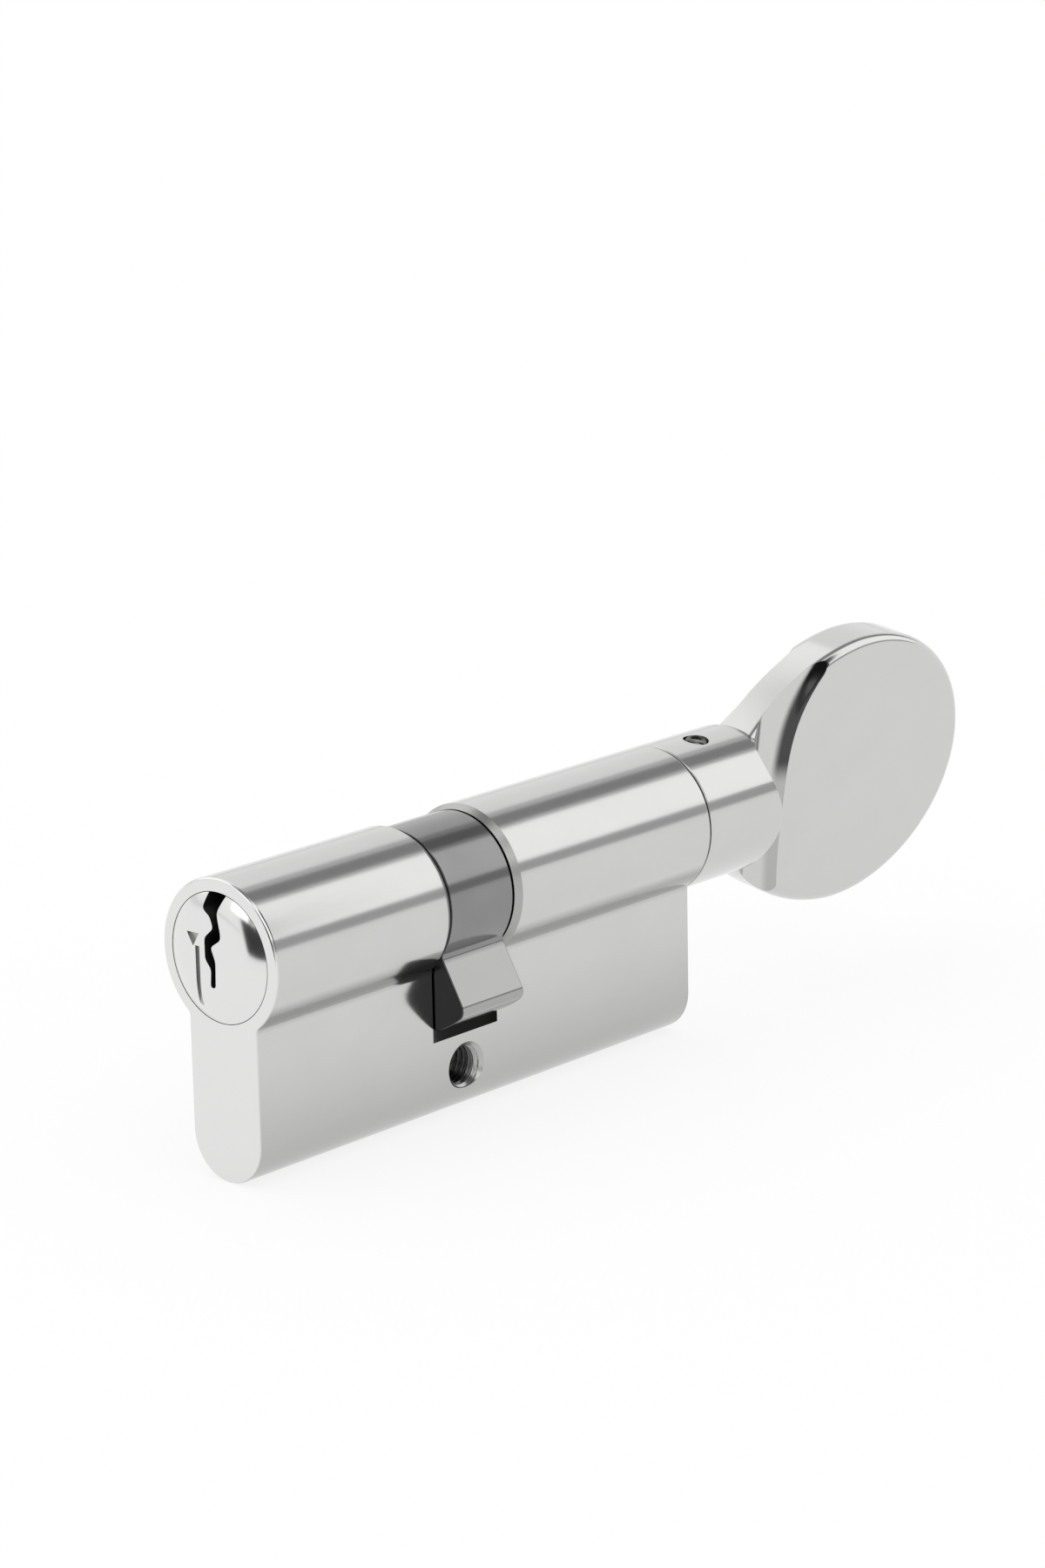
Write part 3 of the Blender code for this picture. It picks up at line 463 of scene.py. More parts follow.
def carve(piece, tools, operation="DIFFERENCE"):
    """Cuts tools off a piece, or joins them to it, in one Boolean."""
    group = bpy.data.collections.new("tools")
    scene = bpy.context.scene.collection
    scene.children.link(group)
    for tool in tools:
        group.objects.link(tool)
    scene.objects.link(piece)
    boolean = piece.modifiers.new("carve", "BOOLEAN")
    boolean.operation = operation
    boolean.operand_type = "COLLECTION"
    boolean.collection = group
    boolean.material_mode = "TRANSFER"
    keep_result(piece)
    scene.objects.unlink(piece)
    for tool in tools:
        bpy.data.objects.remove(tool, do_unlink=True)
    bpy.data.collections.remove(group)
    return piece


def rectangle(low, high):
    """The end of a box that is given by two of its corners, as four points across and up."""
    return np.array([(low[1], low[2]), (high[1], low[2]), (high[1], high[2]), (low[1], high[2])])


def box(name, low, high, finish):
    """A plain block, for cutting."""
    return carried(name, rectangle(low, high), low[0], high[0], finish)


def block(name, low, high, finish):
    """A bar with soft edges: a rectangle with bent corners, carried along X and drawn in at its ends."""
    outline = eased(rectangle(low, high), 2 * BAR_EDGE, closed=True)
    return skin(name, drawn(outline, low[0], high[0], BAR_EDGE, steps=4), finish)


def moved(piece, matrix):
    """Moves the mesh itself, because the object stays at the origin."""
    piece.data.transform(matrix)
    return piece


UPRIGHT = Matrix(((0, 1, 0, 0), (0, 0, 1, 0), (1, 0, 0, 0), (0, 0, 0, 1)))


def standing(piece, along):
    """Turns a piece made along X to stand along Z, at a place along the barrel."""
    return moved(piece, Matrix.Translation((along, 0, 0)) @ UPRIGHT)


def seat(piece, body):
    """Shades a finished piece and lets it stand for the node it is named after, on that node's body."""
    bpy.context.scene.collection.objects.link(piece)
    piece.data.shade_smooth()
    piece.data.set_sharp_from_angle(angle=SHARP_ANGLE)
    weighted = piece.modifiers.new("flat faces", "WEIGHTED_NORMAL")
    weighted.keep_sharp = True
    keep_result(piece)
    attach(piece, body)
    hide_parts(piece.name.removeprefix("fine_"))
    print(piece.name, "faces:", len(piece.data.polygons))


# %% [markdown]
# ## The body
# The euro profile is a round barrel on a narrow flange, like a keyhole turned upside down. Its outline
# is one arc, two straight sides and a half circle, with a small fillet where barrel and flange meet,
# and it is carried along X with rounded edges. The cam's slot, the bores and the screw hole are cut.

# %% The body's outline
SHOULDER_FILLET = 0.35 * MM
BODY_EDGE = 0.35 * MM


def euro_outline():
    """Barrel arc, left side, round end and right side, anticlockwise seen from the knob."""
    root = math.sqrt(BARREL**2 - FLANGE_HALF**2)
    shoulder = math.asin(FLANGE_HALF / BARREL) + SHOULDER_FILLET / BARREL
    barrel = BARREL * circle(np.linspace(shoulder - QUARTER, 3 * QUARTER - shoulder, 220))
    end = FLANGE_HALF * circle(np.linspace(math.pi, TAU, 72)) + (0, BODY_BOTTOM + FLANGE_HALF)
    left = bend(barrel[-1], (-FLANGE_HALF, -root), (-FLANGE_HALF, -root - SHOULDER_FILLET))
    right = bend((FLANGE_HALF, -root - SHOULDER_FILLET), (FLANGE_HALF, -root), barrel[0])
    return np.concatenate([barrel, left[1:], end, right[:-1]])


# %% [markdown]
# The fixing screw's hole is threaded M5. A thread is a surface of two parameters, the angle round the
# hole and the place along it: the radius rises and falls once per pitch, and one pitch later per turn.
# Near each mouth a cone, the sink, is wider than the thread, so the radius there is the cone's.

# %% The threaded hole and the slot's edges
HOLE_DROP = -18.75 * MM
THREAD_MINOR = 2.05 * MM
THREAD_DEPTH = 0.4 * MM
THREAD_PITCH = 0.8 * MM
SINK_RIM = 2.75 * MM
SINK_PAST = 1.0 * MM


def threaded_hole():
    """radius = minor + depth * (1 - cos(2 pi (along / pitch) - angle)) / 2, across the flange, or the
    sink's rim + (|along| - flange half width), whichever is more."""
    reach = FLANGE_HALF + SINK_PAST
    along = np.linspace(-reach, reach, 240)[:, None]
    angle = np.linspace(0, TAU, 64, endpoint=False)[None]
    thread = THREAD_MINOR + THREAD_DEPTH * (1 - np.cos(TAU * along / THREAD_PITCH - angle)) / 2
    radius = np.maximum(thread, SINK_RIM + np.abs(along) - FLANGE_HALF)
    across, up = radius * np.cos(angle), radius * np.sin(angle)
    rows = np.stack([across, np.broadcast_to(along, radius.shape), up + HOLE_DROP], axis=-1)
    return skin("threaded_hole", rows, THREAD_PAINTED_SHADE_NICKEL)


SLOT_FLOOR = -14.9 * MM
SLOT_CHAMFER = 0.8 * MM
SLOT_CHAMFER_DROP = 0.5 * MM
CHAMFER_PAST = 1.0 * MM
CHAMFER_STOP = 0.02


def slot_chamfer(side):
    """A triangle carried round the barrel, which breaks the barrel's edge at the cam's slot. It stops a
    small angle above the flange."""
    edge = side * SLOT_HALF
    slope = SLOT_CHAMFER / SLOT_CHAMFER_DROP
    inner = (edge - side * CHAMFER_PAST * slope, BARREL - SLOT_CHAMFER_DROP - CHAMFER_PAST)
    outer = (edge + side * (SLOT_CHAMFER + CHAMFER_PAST * slope), BARREL + CHAMFER_PAST)
    triangle = np.array([inner, outer, (inner[0], BARREL + CHAMFER_PAST)])
    open_angle = math.asin(FLANGE_HALF / BARREL) + CHAMFER_STOP
    angle = np.linspace(open_angle - QUARTER, 3 * QUARTER - open_angle, 160)
    flat = triangle[None, :, 1, None] * circle(angle)[:, None]
    along = np.broadcast_to(triangle[None, :, 0, None], (len(angle), 3, 1))
    return skin("slot_chamfer", np.concatenate([along, flat], axis=-1), CUT_NICKEL)


# %% Cut the body
ROTOR = 6.5 * MM
BORE_RADIUS = ROTOR + 0.15 * MM
HEAD_SEAT = 7.08 * MM
HEAD_FLOOR = KEY_FACE + 1.55 * MM
CLIP_RECESS = 7.6 * MM
CLIP_RECESS_END = 6.45 * MM
CHAMBER = 1.5 * MM


PIN_PLACES = [node_middle(f"key_pin_{i + 1}")[0] for i in range(PIN_COUNT)]
BRAKE_PLACE = node_middle("brake_ball")[0]


def chamber(along, top):
    """An upright bore from below the flange up to a height."""
    bore = turned("chamber", [(BODY_BOTTOM - PAST, CHAMBER), (top, CHAMBER)], BORE_PAINTED_SHADE, sides=48)
    return standing(bore, along)


def make_body():
    body = skin("fine_cylinder_body", drawn(euro_outline(), KEY_FACE, KNOB_FACE, BODY_EDGE), NICKEL)
    reach = BARREL + PAST
    tools = [
        box("cam_slot", (-SLOT_HALF, -reach, SLOT_FLOOR), (SLOT_HALF, reach, reach), SLOT_WALLS),
        turned("bore", [(KEY_FACE - PAST, BORE_RADIUS), (KNOB_FACE + PAST, BORE_RADIUS)], BORE_PAINTED_SHADE),
        turned("head_seat", [(KEY_FACE - PAST, HEAD_SEAT), (HEAD_FLOOR, HEAD_SEAT)], CUT_NICKEL),
        turned("clip_recess", [(-CLIP_RECESS_END, CLIP_RECESS), (CLIP_RECESS_END, CLIP_RECESS)], BORE_PAINTED_SHADE),
        threaded_hole(),
        slot_chamfer(1),
        slot_chamfer(-1),
    ]
    tools += [chamber(along, 0) for along in PIN_PLACES + [BRAKE_PLACE]]
    seat(carve(body, tools), "housing")


make_body()

# %% [markdown]
# ## The key plug
# The rotor that the key turns shows only its nose: a low polished dome, split by the keyway. The
# profile is turned, and the keyway's zigzag, the lead-in groove and the index notch are cut.

# %% Turn and cut the key plug
NOSE = PLUG_LOW[0]
PLUG_END = PLUG_HIGH[0]
HEAD_RADIUS = PLUG_HIGH[1]
HEAD_BACK = KEY_FACE + 1.4 * MM
NOSE_FLAT = 3.0 * MM
NOSE_SHOULDER = 5.4 * MM
CLIP_GROOVE = (5.1 * MM, 6.3 * MM)
CLIP_GROOVE_RADIUS = 5.7 * MM
KEYWAY_TOP = HEAD_RADIUS + 0.3 * MM
KEYWAY_FLOOR = -2.95 * MM
KEYWAY_RIGHT = ((-1.5, KEYWAY_TOP / MM), (-0.7, 5.2), (-1.4, 3.2), (-1.4, 2.4), (0.1, 1.4),
                (-0.55, -0.1), (-0.45, KEYWAY_FLOOR / MM))
KEYWAY_LEFT = ((0.3, KEYWAY_FLOOR / MM), (0.15, -1.0), (1.0, 0.0), (1.0, 2.3), (-0.35, 3.5),
               (0.2, 4.6), (1.5, 5.3), (1.1, KEYWAY_TOP / MM))
INDEX_NOTCH = ((1.8, 2.6), (3.7, 2.5), (2.7, 1.1))
KEYWAY_ROUND = 0.4
NOTCH_ROUND = 0.08
LEAD_GROOVE = (1.8 * MM, 2.4 * MM)
LEAD_GROOVE_TOP = 1.2 * MM
NOSE_CUT = 0.4 * MM
PLUG_EDGE = 0.15 * MM
COUPLING_SLOT = (-7.2 * MM, 1.25 * MM, 4.5 * MM)
KEYWAY_PAST = 0.5 * MM
PIN_BORE_TOP = 1.4 * MM


def make_key_plug():
    groove_near, groove_far = CLIP_GROOVE
    profile = [
        (PLUG_END, ROTOR),
        (-groove_near, ROTOR),
        (-groove_near, CLIP_GROOVE_RADIUS),
        (-groove_far, CLIP_GROOVE_RADIUS),
        (-groove_far, ROTOR),
        (HEAD_BACK, ROTOR),
        (HEAD_BACK, HEAD_RADIUS),
        (KEY_FACE, HEAD_RADIUS),
    ]
    dome = bend((KEY_FACE, HEAD_RADIUS), (NOSE, NOSE_SHOULDER), (NOSE, NOSE_FLAT), 16)
    plug = turned("fine_key_plug", np.vstack([eased(profile, PLUG_EDGE), dome[1:]]), NICKEL, sides=192)
    keyway = eased(KEYWAY_RIGHT + KEYWAY_LEFT, KEYWAY_ROUND, closed=True) * MM
    notch = eased(INDEX_NOTCH, NOTCH_ROUND, closed=True) * MM
    floor, half, tall = COUPLING_SLOT
    groove_low = (NOSE - PAST, LEAD_GROOVE[0], -HEAD_RADIUS - PAST)
    groove_high = (NOSE + NOSE_CUT, LEAD_GROOVE[1], LEAD_GROOVE_TOP)
    tools = [
        carried("keyway", keyway, NOSE - PAST, floor + KEYWAY_PAST, BORE_PAINTED_SHADE),
        carried("index_notch", notch, NOSE - PAST, NOSE + NOSE_CUT, CUT_NICKEL),
        box("lead_groove", groove_low, groove_high, CUT_NICKEL),
        box("coupling_slot", (floor, -half, -tall), (PLUG_END + PAST, half, tall), BORE_PAINTED_SHADE),
    ]
    tools += [chamber(along, PIN_BORE_TOP) for along in PIN_PLACES]
    seat(carve(plug, tools), "key_plug")


make_key_plug()

# %% [markdown]
# ## The cam
# The steel cam turns in the slot and its lever throws the bolt. Its outline is a ring that runs into
# the lever through hollow roots, and the lever ends in an arc about the same axis with soft corners, so
# that it clears the slot's floor all the way round. At rest it hangs part way round.

# %% Draw and cut the cam
CAM_RING = CAM_HIGH[2]
CAM_HALF = CAM_HIGH[0]
CAM_EDGE = 0.2 * MM
LEVER_REACH = 14.5 * MM
LEVER_HALF = 2.9 * MM
LEVER_FILLET = 0.8 * MM
LEVER_CORNER = 1.2 * MM
LEVER_SWING = math.radians(-30)
CAM_BORE = 5.2 * MM
CAM_FACE_RECESS = 6.75 * MM
CAM_RECESS_FLOOR = 3.8 * MM
FREE_GROOVE = (-3.5 * MM, -1.0 * MM)
DRIVE_SLOT = (1.25 * MM, 6.4 * MM)


def arc(centre, radius, first, last, count):
    return np.array(centre) + radius * circle(np.linspace(first, last, count))


def cam_outline():
    """Ring arc, hollow root, side, corner and end arc, anticlockwise. A root's circle touches the ring
    from outside, so its centre is at ring + fillet from the axis. A corner's circle touches the end arc
    from inside, so its centre is at reach - corner."""
    hollow, inside = LEVER_HALF + LEVER_FILLET, LEVER_HALF - LEVER_CORNER
    hollow_drop = math.sqrt((CAM_RING + LEVER_FILLET) ** 2 - hollow**2)
    inside_drop = math.sqrt((LEVER_REACH - LEVER_CORNER) ** 2 - inside**2)
    root, end = math.atan2(hollow_drop, hollow), math.atan2(inside_drop, inside)
    ring = arc((0, 0), CAM_RING, -root, math.pi + root, 180)
    fillet = arc((-hollow, -hollow_drop), LEVER_FILLET, root, 0, 12)
    corner = arc((-inside, -inside_drop), LEVER_CORNER, math.pi, math.pi + end, 14)
    tip = arc((0, 0), LEVER_REACH, math.pi + end, TAU - end, 20)
    left = np.concatenate([fillet, corner])
    right = (left * (-1, 1))[::-1]
    return np.concatenate([ring[:-1], left, tip[1:-1], right[:-1]])


def make_cam():
    cam = skin("fine_cam", drawn(cam_outline(), -CAM_HALF, CAM_HALF, CAM_EDGE), CAM_STEEL)
    moved(cam, Matrix.Rotation(LEVER_SWING, 4, "X"))
    far = CAM_HALF + PAST
    half, tall = DRIVE_SLOT
    middle = sum(FREE_GROOVE) / 2
    tools = [
        turned("bore", [(-far, CAM_BORE), (far, CAM_BORE)], BORE_PAINTED_SHADE),
        turned("key_recess", [(-far, CAM_FACE_RECESS), (-CAM_RECESS_FLOOR, CAM_FACE_RECESS)], BORE_PAINTED_SHADE),
        turned("knob_recess", [(CAM_RECESS_FLOOR, CAM_FACE_RECESS), (far, CAM_FACE_RECESS)], BORE_PAINTED_SHADE),
        turned("free_groove", [(along, tall) for along in FREE_GROOVE], BORE_PAINTED_SHADE),
        box("drive_slots", (middle, -half, -tall), (far, half, tall), BORE_PAINTED_SHADE),
    ]
    seat(carve(cam, tools), "turn")


make_cam()

# %% [markdown]
# ## The thumbturn knob
# One casting: a collar as wide as the barrel, and a flat oval plate that is rooted in it. A round cutter
# mills a cove between the two on each side. In front it leaves a crisp edge on the plate's face, which
# follows the oval upwards, and behind it runs out softly. The plate is its outline carried across its
# thickness with rounded edges.

# %% The knob's plate
KNOB_TURN = math.radians(9)
KNOB_HALF = 3.1 * MM
KNOB_HALF_HEIGHT = 16.5 * MM
KNOB_INNER_RUN = 23.3 * MM
KNOB_INNER_POWER = 2 / 1.8
KNOB_EDGE = 1.3 * MM
COLLAR_END = COLLAR_SEAT + 12.7 * MM
PLATE_WIDEST = COLLAR_END + 19.5 * MM


def oval_outline():
    """Half an ellipse outwards. Towards the collar the cosine and the sine of the ellipse are raised to a
    power above one, which makes that half a little pointed."""
    angle = np.linspace(0, TAU, 240, endpoint=False)
    run, rise = np.cos(angle), np.sin(angle)
    outer = run >= 0
    power = np.where(outer, 1.0, KNOB_INNER_POWER)
    reach = np.where(outer, KNOB_TIP - PLATE_WIDEST, KNOB_INNER_RUN)
    along = PLATE_WIDEST + reach * np.sign(run) * np.abs(run) ** power
    return np.stack([along, KNOB_HALF_HEIGHT * np.sign(rise) * np.abs(rise) ** power], axis=-1)


def plate():
    rows = drawn(oval_outline(), -KNOB_HALF, KNOB_HALF, KNOB_EDGE, steps=9)
    return skin("fine_thumbturn_knob", rows[..., [1, 0, 2]], KNOB_NICKEL)


# %% The collar and the coves
STUB_BORE = 5.15 * MM
STUB_BORE_END = 47.3 * MM
COLLAR_START = COLLAR_SEAT - 0.2 * MM
COLLAR_EDGE = 0.12 * MM
COLLAR_ROUND = 0.9 * MM
COLLAR_LEAN = 0.3
NECK_HALF = 1.8 * MM
COVE_RADIUS = 4.0 * MM
COVE_PLACE = COLLAR_END + 3.15 * MM
COVE_START = math.radians(-150)
COVE_WIDENING = 1.2
COVE_ROWS = 33
CRISP_COVE = (-1, math.radians(41), 3.4 * MM, COVE_PAINTED_SHADE_NICKEL)
SOFT_COVE = (1, math.radians(26), 5.2 * MM, KNOB_NICKEL)
FACE_CLEAR = 0.01 * MM


def collar():
    """A straight side with a small edge at the joint, and a rounded end that dips into the coves."""
    joint = [(COLLAR_START, STUB_BORE / 2), (COLLAR_START, BARREL), (COLLAR_END - COLLAR_ROUND, BARREL)]
    dip = (COLLAR_END + COLLAR_ROUND, BARREL - COLLAR_ROUND)
    end = bend(joint[-1], (COLLAR_END + COLLAR_LEAN * COLLAR_ROUND, BARREL), dip)
    profile = np.vstack([eased(joint, COLLAR_EDGE), end[1:], [(COVE_PLACE, STUB_BORE)]])
    return turned("collar", profile, KNOB_NICKEL, sides=192)


def cove(side, last, run, finish):
    """Seen from above: an arc of the round cutter, at (radius sin a, neck + radius (1 - cos a)), which a
    parabola carries out onto the plate's face. On its way up and down the cutter's outer half is led
    outwards by the cube of the height, so that its edge follows the plate's outline."""
    angle = np.linspace(COVE_START, last, 40)
    along = COVE_RADIUS * np.sin(angle)
    along = np.where(along < 0, COVE_WIDENING * along, along)
    depth = NECK_HALF + COVE_RADIUS * (1 - np.cos(angle))
    face = KNOB_HALF + FACE_CLEAR
    corner = (along[-1] + (face - depth[-1]) / math.tan(last), face)
    run_out = bend((along[-1], depth[-1]), corner, (run, face), 14)
    outline = np.vstack([np.stack([along, depth], axis=-1), run_out[1:], [(run, BARREL + PAST)]])
    up = np.linspace(-COVE_TALL, COVE_TALL, COVE_ROWS)[:, None]
    lead = np.where(up > 0, COVE_LEAD_UP, COVE_LEAD_DOWN)
    led = lead * np.abs(up / COVE_TALL) ** 3 * (outline[None, :, 0] > 0)
    place = COVE_PLACE + outline[None, :, 0] + led
    across = np.broadcast_to(side * outline[None, :, 1], place.shape)
    rows = np.stack([place, across, np.broadcast_to(up, place.shape)], axis=-1)
    return skin("cove", rows, finish)


# %% Join, mill and drill the knob
SCREW_PLACE = COLLAR_SEAT + 5.5 * MM
SCREW_HOLE = 1.5 * MM
KNOB_TILT = Matrix.Rotation(KNOB_TURN, 4, "X")


def make_knob():
    knob = carve(plate(), [collar()], "UNION")
    hole = turned("screw_hole", [(0, SCREW_HOLE), (BARREL + PAST, SCREW_HOLE)], KNOB_NICKEL, sides=48)
    tools = [
        cove(*CRISP_COVE),
        cove(*SOFT_COVE),
        turned("stub_bore", [(COLLAR_START - PAST, STUB_BORE), (STUB_BORE_END, STUB_BORE)], BORE_PAINTED_SHADE),
        standing(hole, SCREW_PLACE),
    ]
    seat(moved(carve(knob, tools), KNOB_TILT), "turn")


make_knob()

# %% [markdown]
# The set screw in the collar's hole is a headless socket screw. Its thread is the hole's formula turned
# inside out, its ends are cut back by a cone, and six flat sides cut its socket.

# %% The set screw
SCREW_RADIUS = 1.36 * MM
SCREW_THREAD = 0.2 * MM
SCREW_PITCH = 0.5 * MM
SCREW_SPAN = (4.7 * MM, 7.6 * MM)
SOCKET_RADIUS = 0.75 * MM
SOCKET_DEPTH = 1.3 * MM


def make_set_screw():
    """radius = outer - depth * (1 - cos(2 pi along / pitch - angle)) / 2, and near an end no more than
    the core plus the distance to that end."""
    low, high = SCREW_SPAN
    along = np.linspace(low, high, 64)[:, None]
    angle = np.linspace(0, TAU, 48, endpoint=False)[None]
    thread = SCREW_RADIUS - SCREW_THREAD * (1 - np.cos(TAU * along / SCREW_PITCH - angle)) / 2
    to_end = np.minimum(along - low, high - along)
    radius = np.minimum(thread, SCREW_RADIUS - SCREW_THREAD + to_end)
    place = np.broadcast_to(along, radius.shape)
    rows = np.stack([place, radius * np.cos(angle), radius * np.sin(angle)], axis=-1)
    profile = [(high - SOCKET_DEPTH, SOCKET_RADIUS), (high + PAST, SOCKET_RADIUS)]
    socket = turned("socket", profile, CUT_NICKEL, sides=6)
    screw = carve(skin("fine_knob_set_screw", rows, SPRING_STEEL), [socket])
    seat(moved(standing(screw, SCREW_PLACE), KNOB_TILT), "turn")


make_set_screw()

# %% [markdown]
# ## The pin stacks
# Under the keyway stand five stacks: a pointed brass key pin, a hardened driver, a spring and a brass plug
# that closes the chamber. Pins and plugs are turned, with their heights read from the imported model. The
# drivers have a slight waist, which makes the lock harder to pick.

# %% Pins and plugs
PIN_EDGE = 0.15 * MM
PIN_POINT = 0.9 * MM
PIN_TIP = 0.5 * MM
PIN_RADIUS = np.diff(span("driver_pin_1", 0))[0] / 2
DRIVER_WAIST = 0.22 * MM
WAIST_SLOPE = 1.3
PLUG_DISH = 0.2 * MM
PLUG_DISH_REACH = 0.7


def pin(node, profile, finish, body):
    """A turned pin that stands in its chamber. Its profile gives the height and the radius."""
    shape = turned("fine_" + node, eased(profile, PIN_EDGE), finish, sides=48)
    seat(standing(shape, node_middle(node)[0]), body)


def key_pin(i):
    node = f"key_pin_{i}"
    low, high = span(node, 2)
    point = [(high - PIN_POINT, PIN_RADIUS), (high, PIN_TIP), (high, PIN_TIP / 2)]
    pin(node, [(low, PIN_TIP), (low, PIN_RADIUS), *point], BRASS, node)


def driver_pin(i):
    node = f"driver_pin_{i}"
    low, high = span(node, 2)
    quarter, waist = (high - low) / 4, PIN_RADIUS - DRIVER_WAIST
    profile = [
        (low, PIN_TIP),
        (low, PIN_RADIUS),
        (low + quarter, PIN_RADIUS),
        (low + WAIST_SLOPE * quarter, waist),
        (high - WAIST_SLOPE * quarter, waist),
        (high - quarter, PIN_RADIUS),
        (high, PIN_RADIUS),
        (high, PIN_TIP),
    ]
    pin(node, profile, HARD_STEEL, f"driver_{i}")


def chamber_plug(node):
    """A disc whose outer face is dished by the punch that set it."""
    low, high = span(node, 2)
    dish = [(low + PLUG_DISH, PIN_TIP), (low, PIN_RADIUS * PLUG_DISH_REACH)]
    profile = [*dish, (low, PIN_RADIUS), (high, PIN_RADIUS), (high, PIN_TIP)]
    pin(node, profile, BRASS, "housing")


for i in range(1, PIN_COUNT + 1):
    key_pin(i)
    driver_pin(i)
    chamber_plug(f"chamber_plug_{i}")
chamber_plug("brake_plug")

# %% [markdown]
# ## Springs
# A spring is a round wire carried along a helix. The angle grows evenly. The place along the axis grows by
# the sum of a pitch that is smaller in the first and the last turn, as on a real wound spring.

# %% Wound springs
WIRE = 0.2 * MM
END_PITCH = 0.55
STEPS_PER_TURN = 30
PIN_SPRING_TURNS = 7
BRAKE_SPRING_TURNS = 9


def coil(name, radius, start, end, turns):
    """The path is (x, r cos a, r sin a). Round it, the wire's circle lies in the plane of the outward
    direction and the one square to it and to the path."""
    angle = np.linspace(0, TAU * turns, round(turns * STEPS_PER_TURN))
    turn = angle / TAU
    pitch = END_PITCH + (1 - END_PITCH) * np.clip(np.minimum(turn, turns - turn), 0, 1)
    rise = np.cumsum(pitch) - pitch[0]
    along = start + (end - start) * rise / rise[-1]
    outward = np.column_stack([np.zeros(len(angle)), circle(angle)])
    path = radius * outward + along[:, None] * (1, 0, 0)
    heading = np.gradient(path, axis=0)
    across = np.cross(heading / np.linalg.norm(heading, axis=1, keepdims=True), outward)
    section = WIRE * circle(np.linspace(0, TAU, 10, endpoint=False))
    rows = path[:, None] + section[None, :, :1] * outward[:, None] + section[None, :, 1:] * across[:, None]
    return skin(name, rows, SPRING_STEEL)


def chamber_spring(node, turns):
    """A spring as tall as its node, seated on the housing."""
    low, high = span(node, 2)
    spring = coil("fine_" + node, PIN_RADIUS - WIRE, low + WIRE, high - WIRE, turns)
    along = node_middle(node)[0]
    seat(standing(spring, along), "housing")
    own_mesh(spring)


for i in range(1, PIN_COUNT + 1):
    chamber_spring(f"pin_spring_{i}", PIN_SPRING_TURNS)
chamber_spring("brake_spring", BRAKE_SPRING_TURNS)

# %% [markdown]
# ## The clutch, the spindle and the brake
# A sliding coupling with two wings joins the key plug to the cam when the key's tip pushes it. A spring
# pushes it back. The brass spindle carries the knob's turn to the cam's other side. Their round parts are
# turned, and wings, tongue and lugs are bars with soft edges that are joined on.

# %% Coupling and its spring
COUPLING_DISC = 4.9 * MM
LUG_HALF = 1.0 * MM
LUG_REACH = 6.1 * MM
TONGUE_HALF = 4.0 * MM
COUPLING_THICK = 1.7 * MM
WING_INSET = 0.15 * MM
CLUTCH_SPRING = 3.0 * MM
CLUTCH_SPRING_TURNS = 2.5


def make_coupling():
    tongue_end, end = span("clutch_coupling", 0)
    start = end - COUPLING_THICK
    profile = [(start, PIN_TIP), (start, COUPLING_DISC), (end, COUPLING_DISC), (end, PIN_TIP)]
    disc = turned("fine_clutch_coupling", eased(profile, PIN_EDGE), HARD_STEEL)
    wings_low = (start + WING_INSET, -LUG_HALF, -LUG_REACH)
    wings_high = (end - WING_INSET, LUG_HALF, LUG_REACH)
    tongue_low = (tongue_end, -LUG_HALF, -TONGUE_HALF)
    tongue_high = (start + 2 * WING_INSET, LUG_HALF, TONGUE_HALF)
    bars = [
        block("wings", wings_low, wings_high, HARD_STEEL),
        block("tongue", tongue_low, tongue_high, HARD_STEEL),
    ]
    seat(carve(disc, bars, "UNION"), "coupling")


def make_clutch_spring():
    low, high = span("clutch_spring", 0)
    spring = coil("fine_clutch_spring", CLUTCH_SPRING, low + WIRE, high - WIRE, CLUTCH_SPRING_TURNS)
    seat(spring, "turn")
    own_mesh(spring)


make_coupling()
make_clutch_spring()

# %% Spindle
SPIGOT = 5.0 * MM
SPINDLE_SHOULDER = KNOB_FACE - 0.3 * MM
ROTOR_END = -PLUG_END
BRAKE_GROOVE = 5.4 * MM
BRAKE_GROOVE_HALF = 1.6 * MM
LUG_SHIFT = 0.3 * MM
STUB_FLAT = 4.4 * MM


def make_spindle():
    near, far = CLIP_GROOVE
    brake_near, brake_far = BRAKE_PLACE - BRAKE_GROOVE_HALF, BRAKE_PLACE + BRAKE_GROOVE_HALF
    start, end = span("turn_spindle", 0)
    profile = [
        (end, PIN_TIP),
        (end, SPIGOT),
        (SPINDLE_SHOULDER, SPIGOT),
        (SPINDLE_SHOULDER, ROTOR),
        (brake_far, ROTOR),
        (brake_far, BRAKE_GROOVE),
        (brake_near, BRAKE_GROOVE),
        (brake_near, ROTOR),
        (far, ROTOR),
        (far, CLIP_GROOVE_RADIUS),
        (near, CLIP_GROOVE_RADIUS),
        (near, ROTOR),
        (ROTOR_END, ROTOR),
        (ROTOR_END, SPIGOT),
        (start, SPIGOT),
        (start, PIN_TIP),
    ]
    spindle = turned("fine_turn_spindle", eased(profile, PIN_EDGE), BRASS, sides=128)
    lugs_low = (start + LUG_SHIFT, -LUG_HALF, -LUG_REACH)
    lugs_high = (ROTOR_END + LUG_SHIFT, LUG_HALF, LUG_REACH)
    carve(spindle, [block("lugs", lugs_low, lugs_high, BRASS)], "UNION")
    flat = box("flat", (COLLAR_SEAT, -ROTOR, STUB_FLAT), (end + PAST, ROTOR, ROTOR), BRASS)
    seat(carve(spindle, [moved(flat, KNOB_TILT)]), "turn")


make_spindle()

# %% [markdown]
# Two circlips hold the key plug and the spindle. A circlip is a flat section carried round X from one side
# of its opening to the other, and it is widest opposite the opening. The brake's ball is turned from half
# a circle.

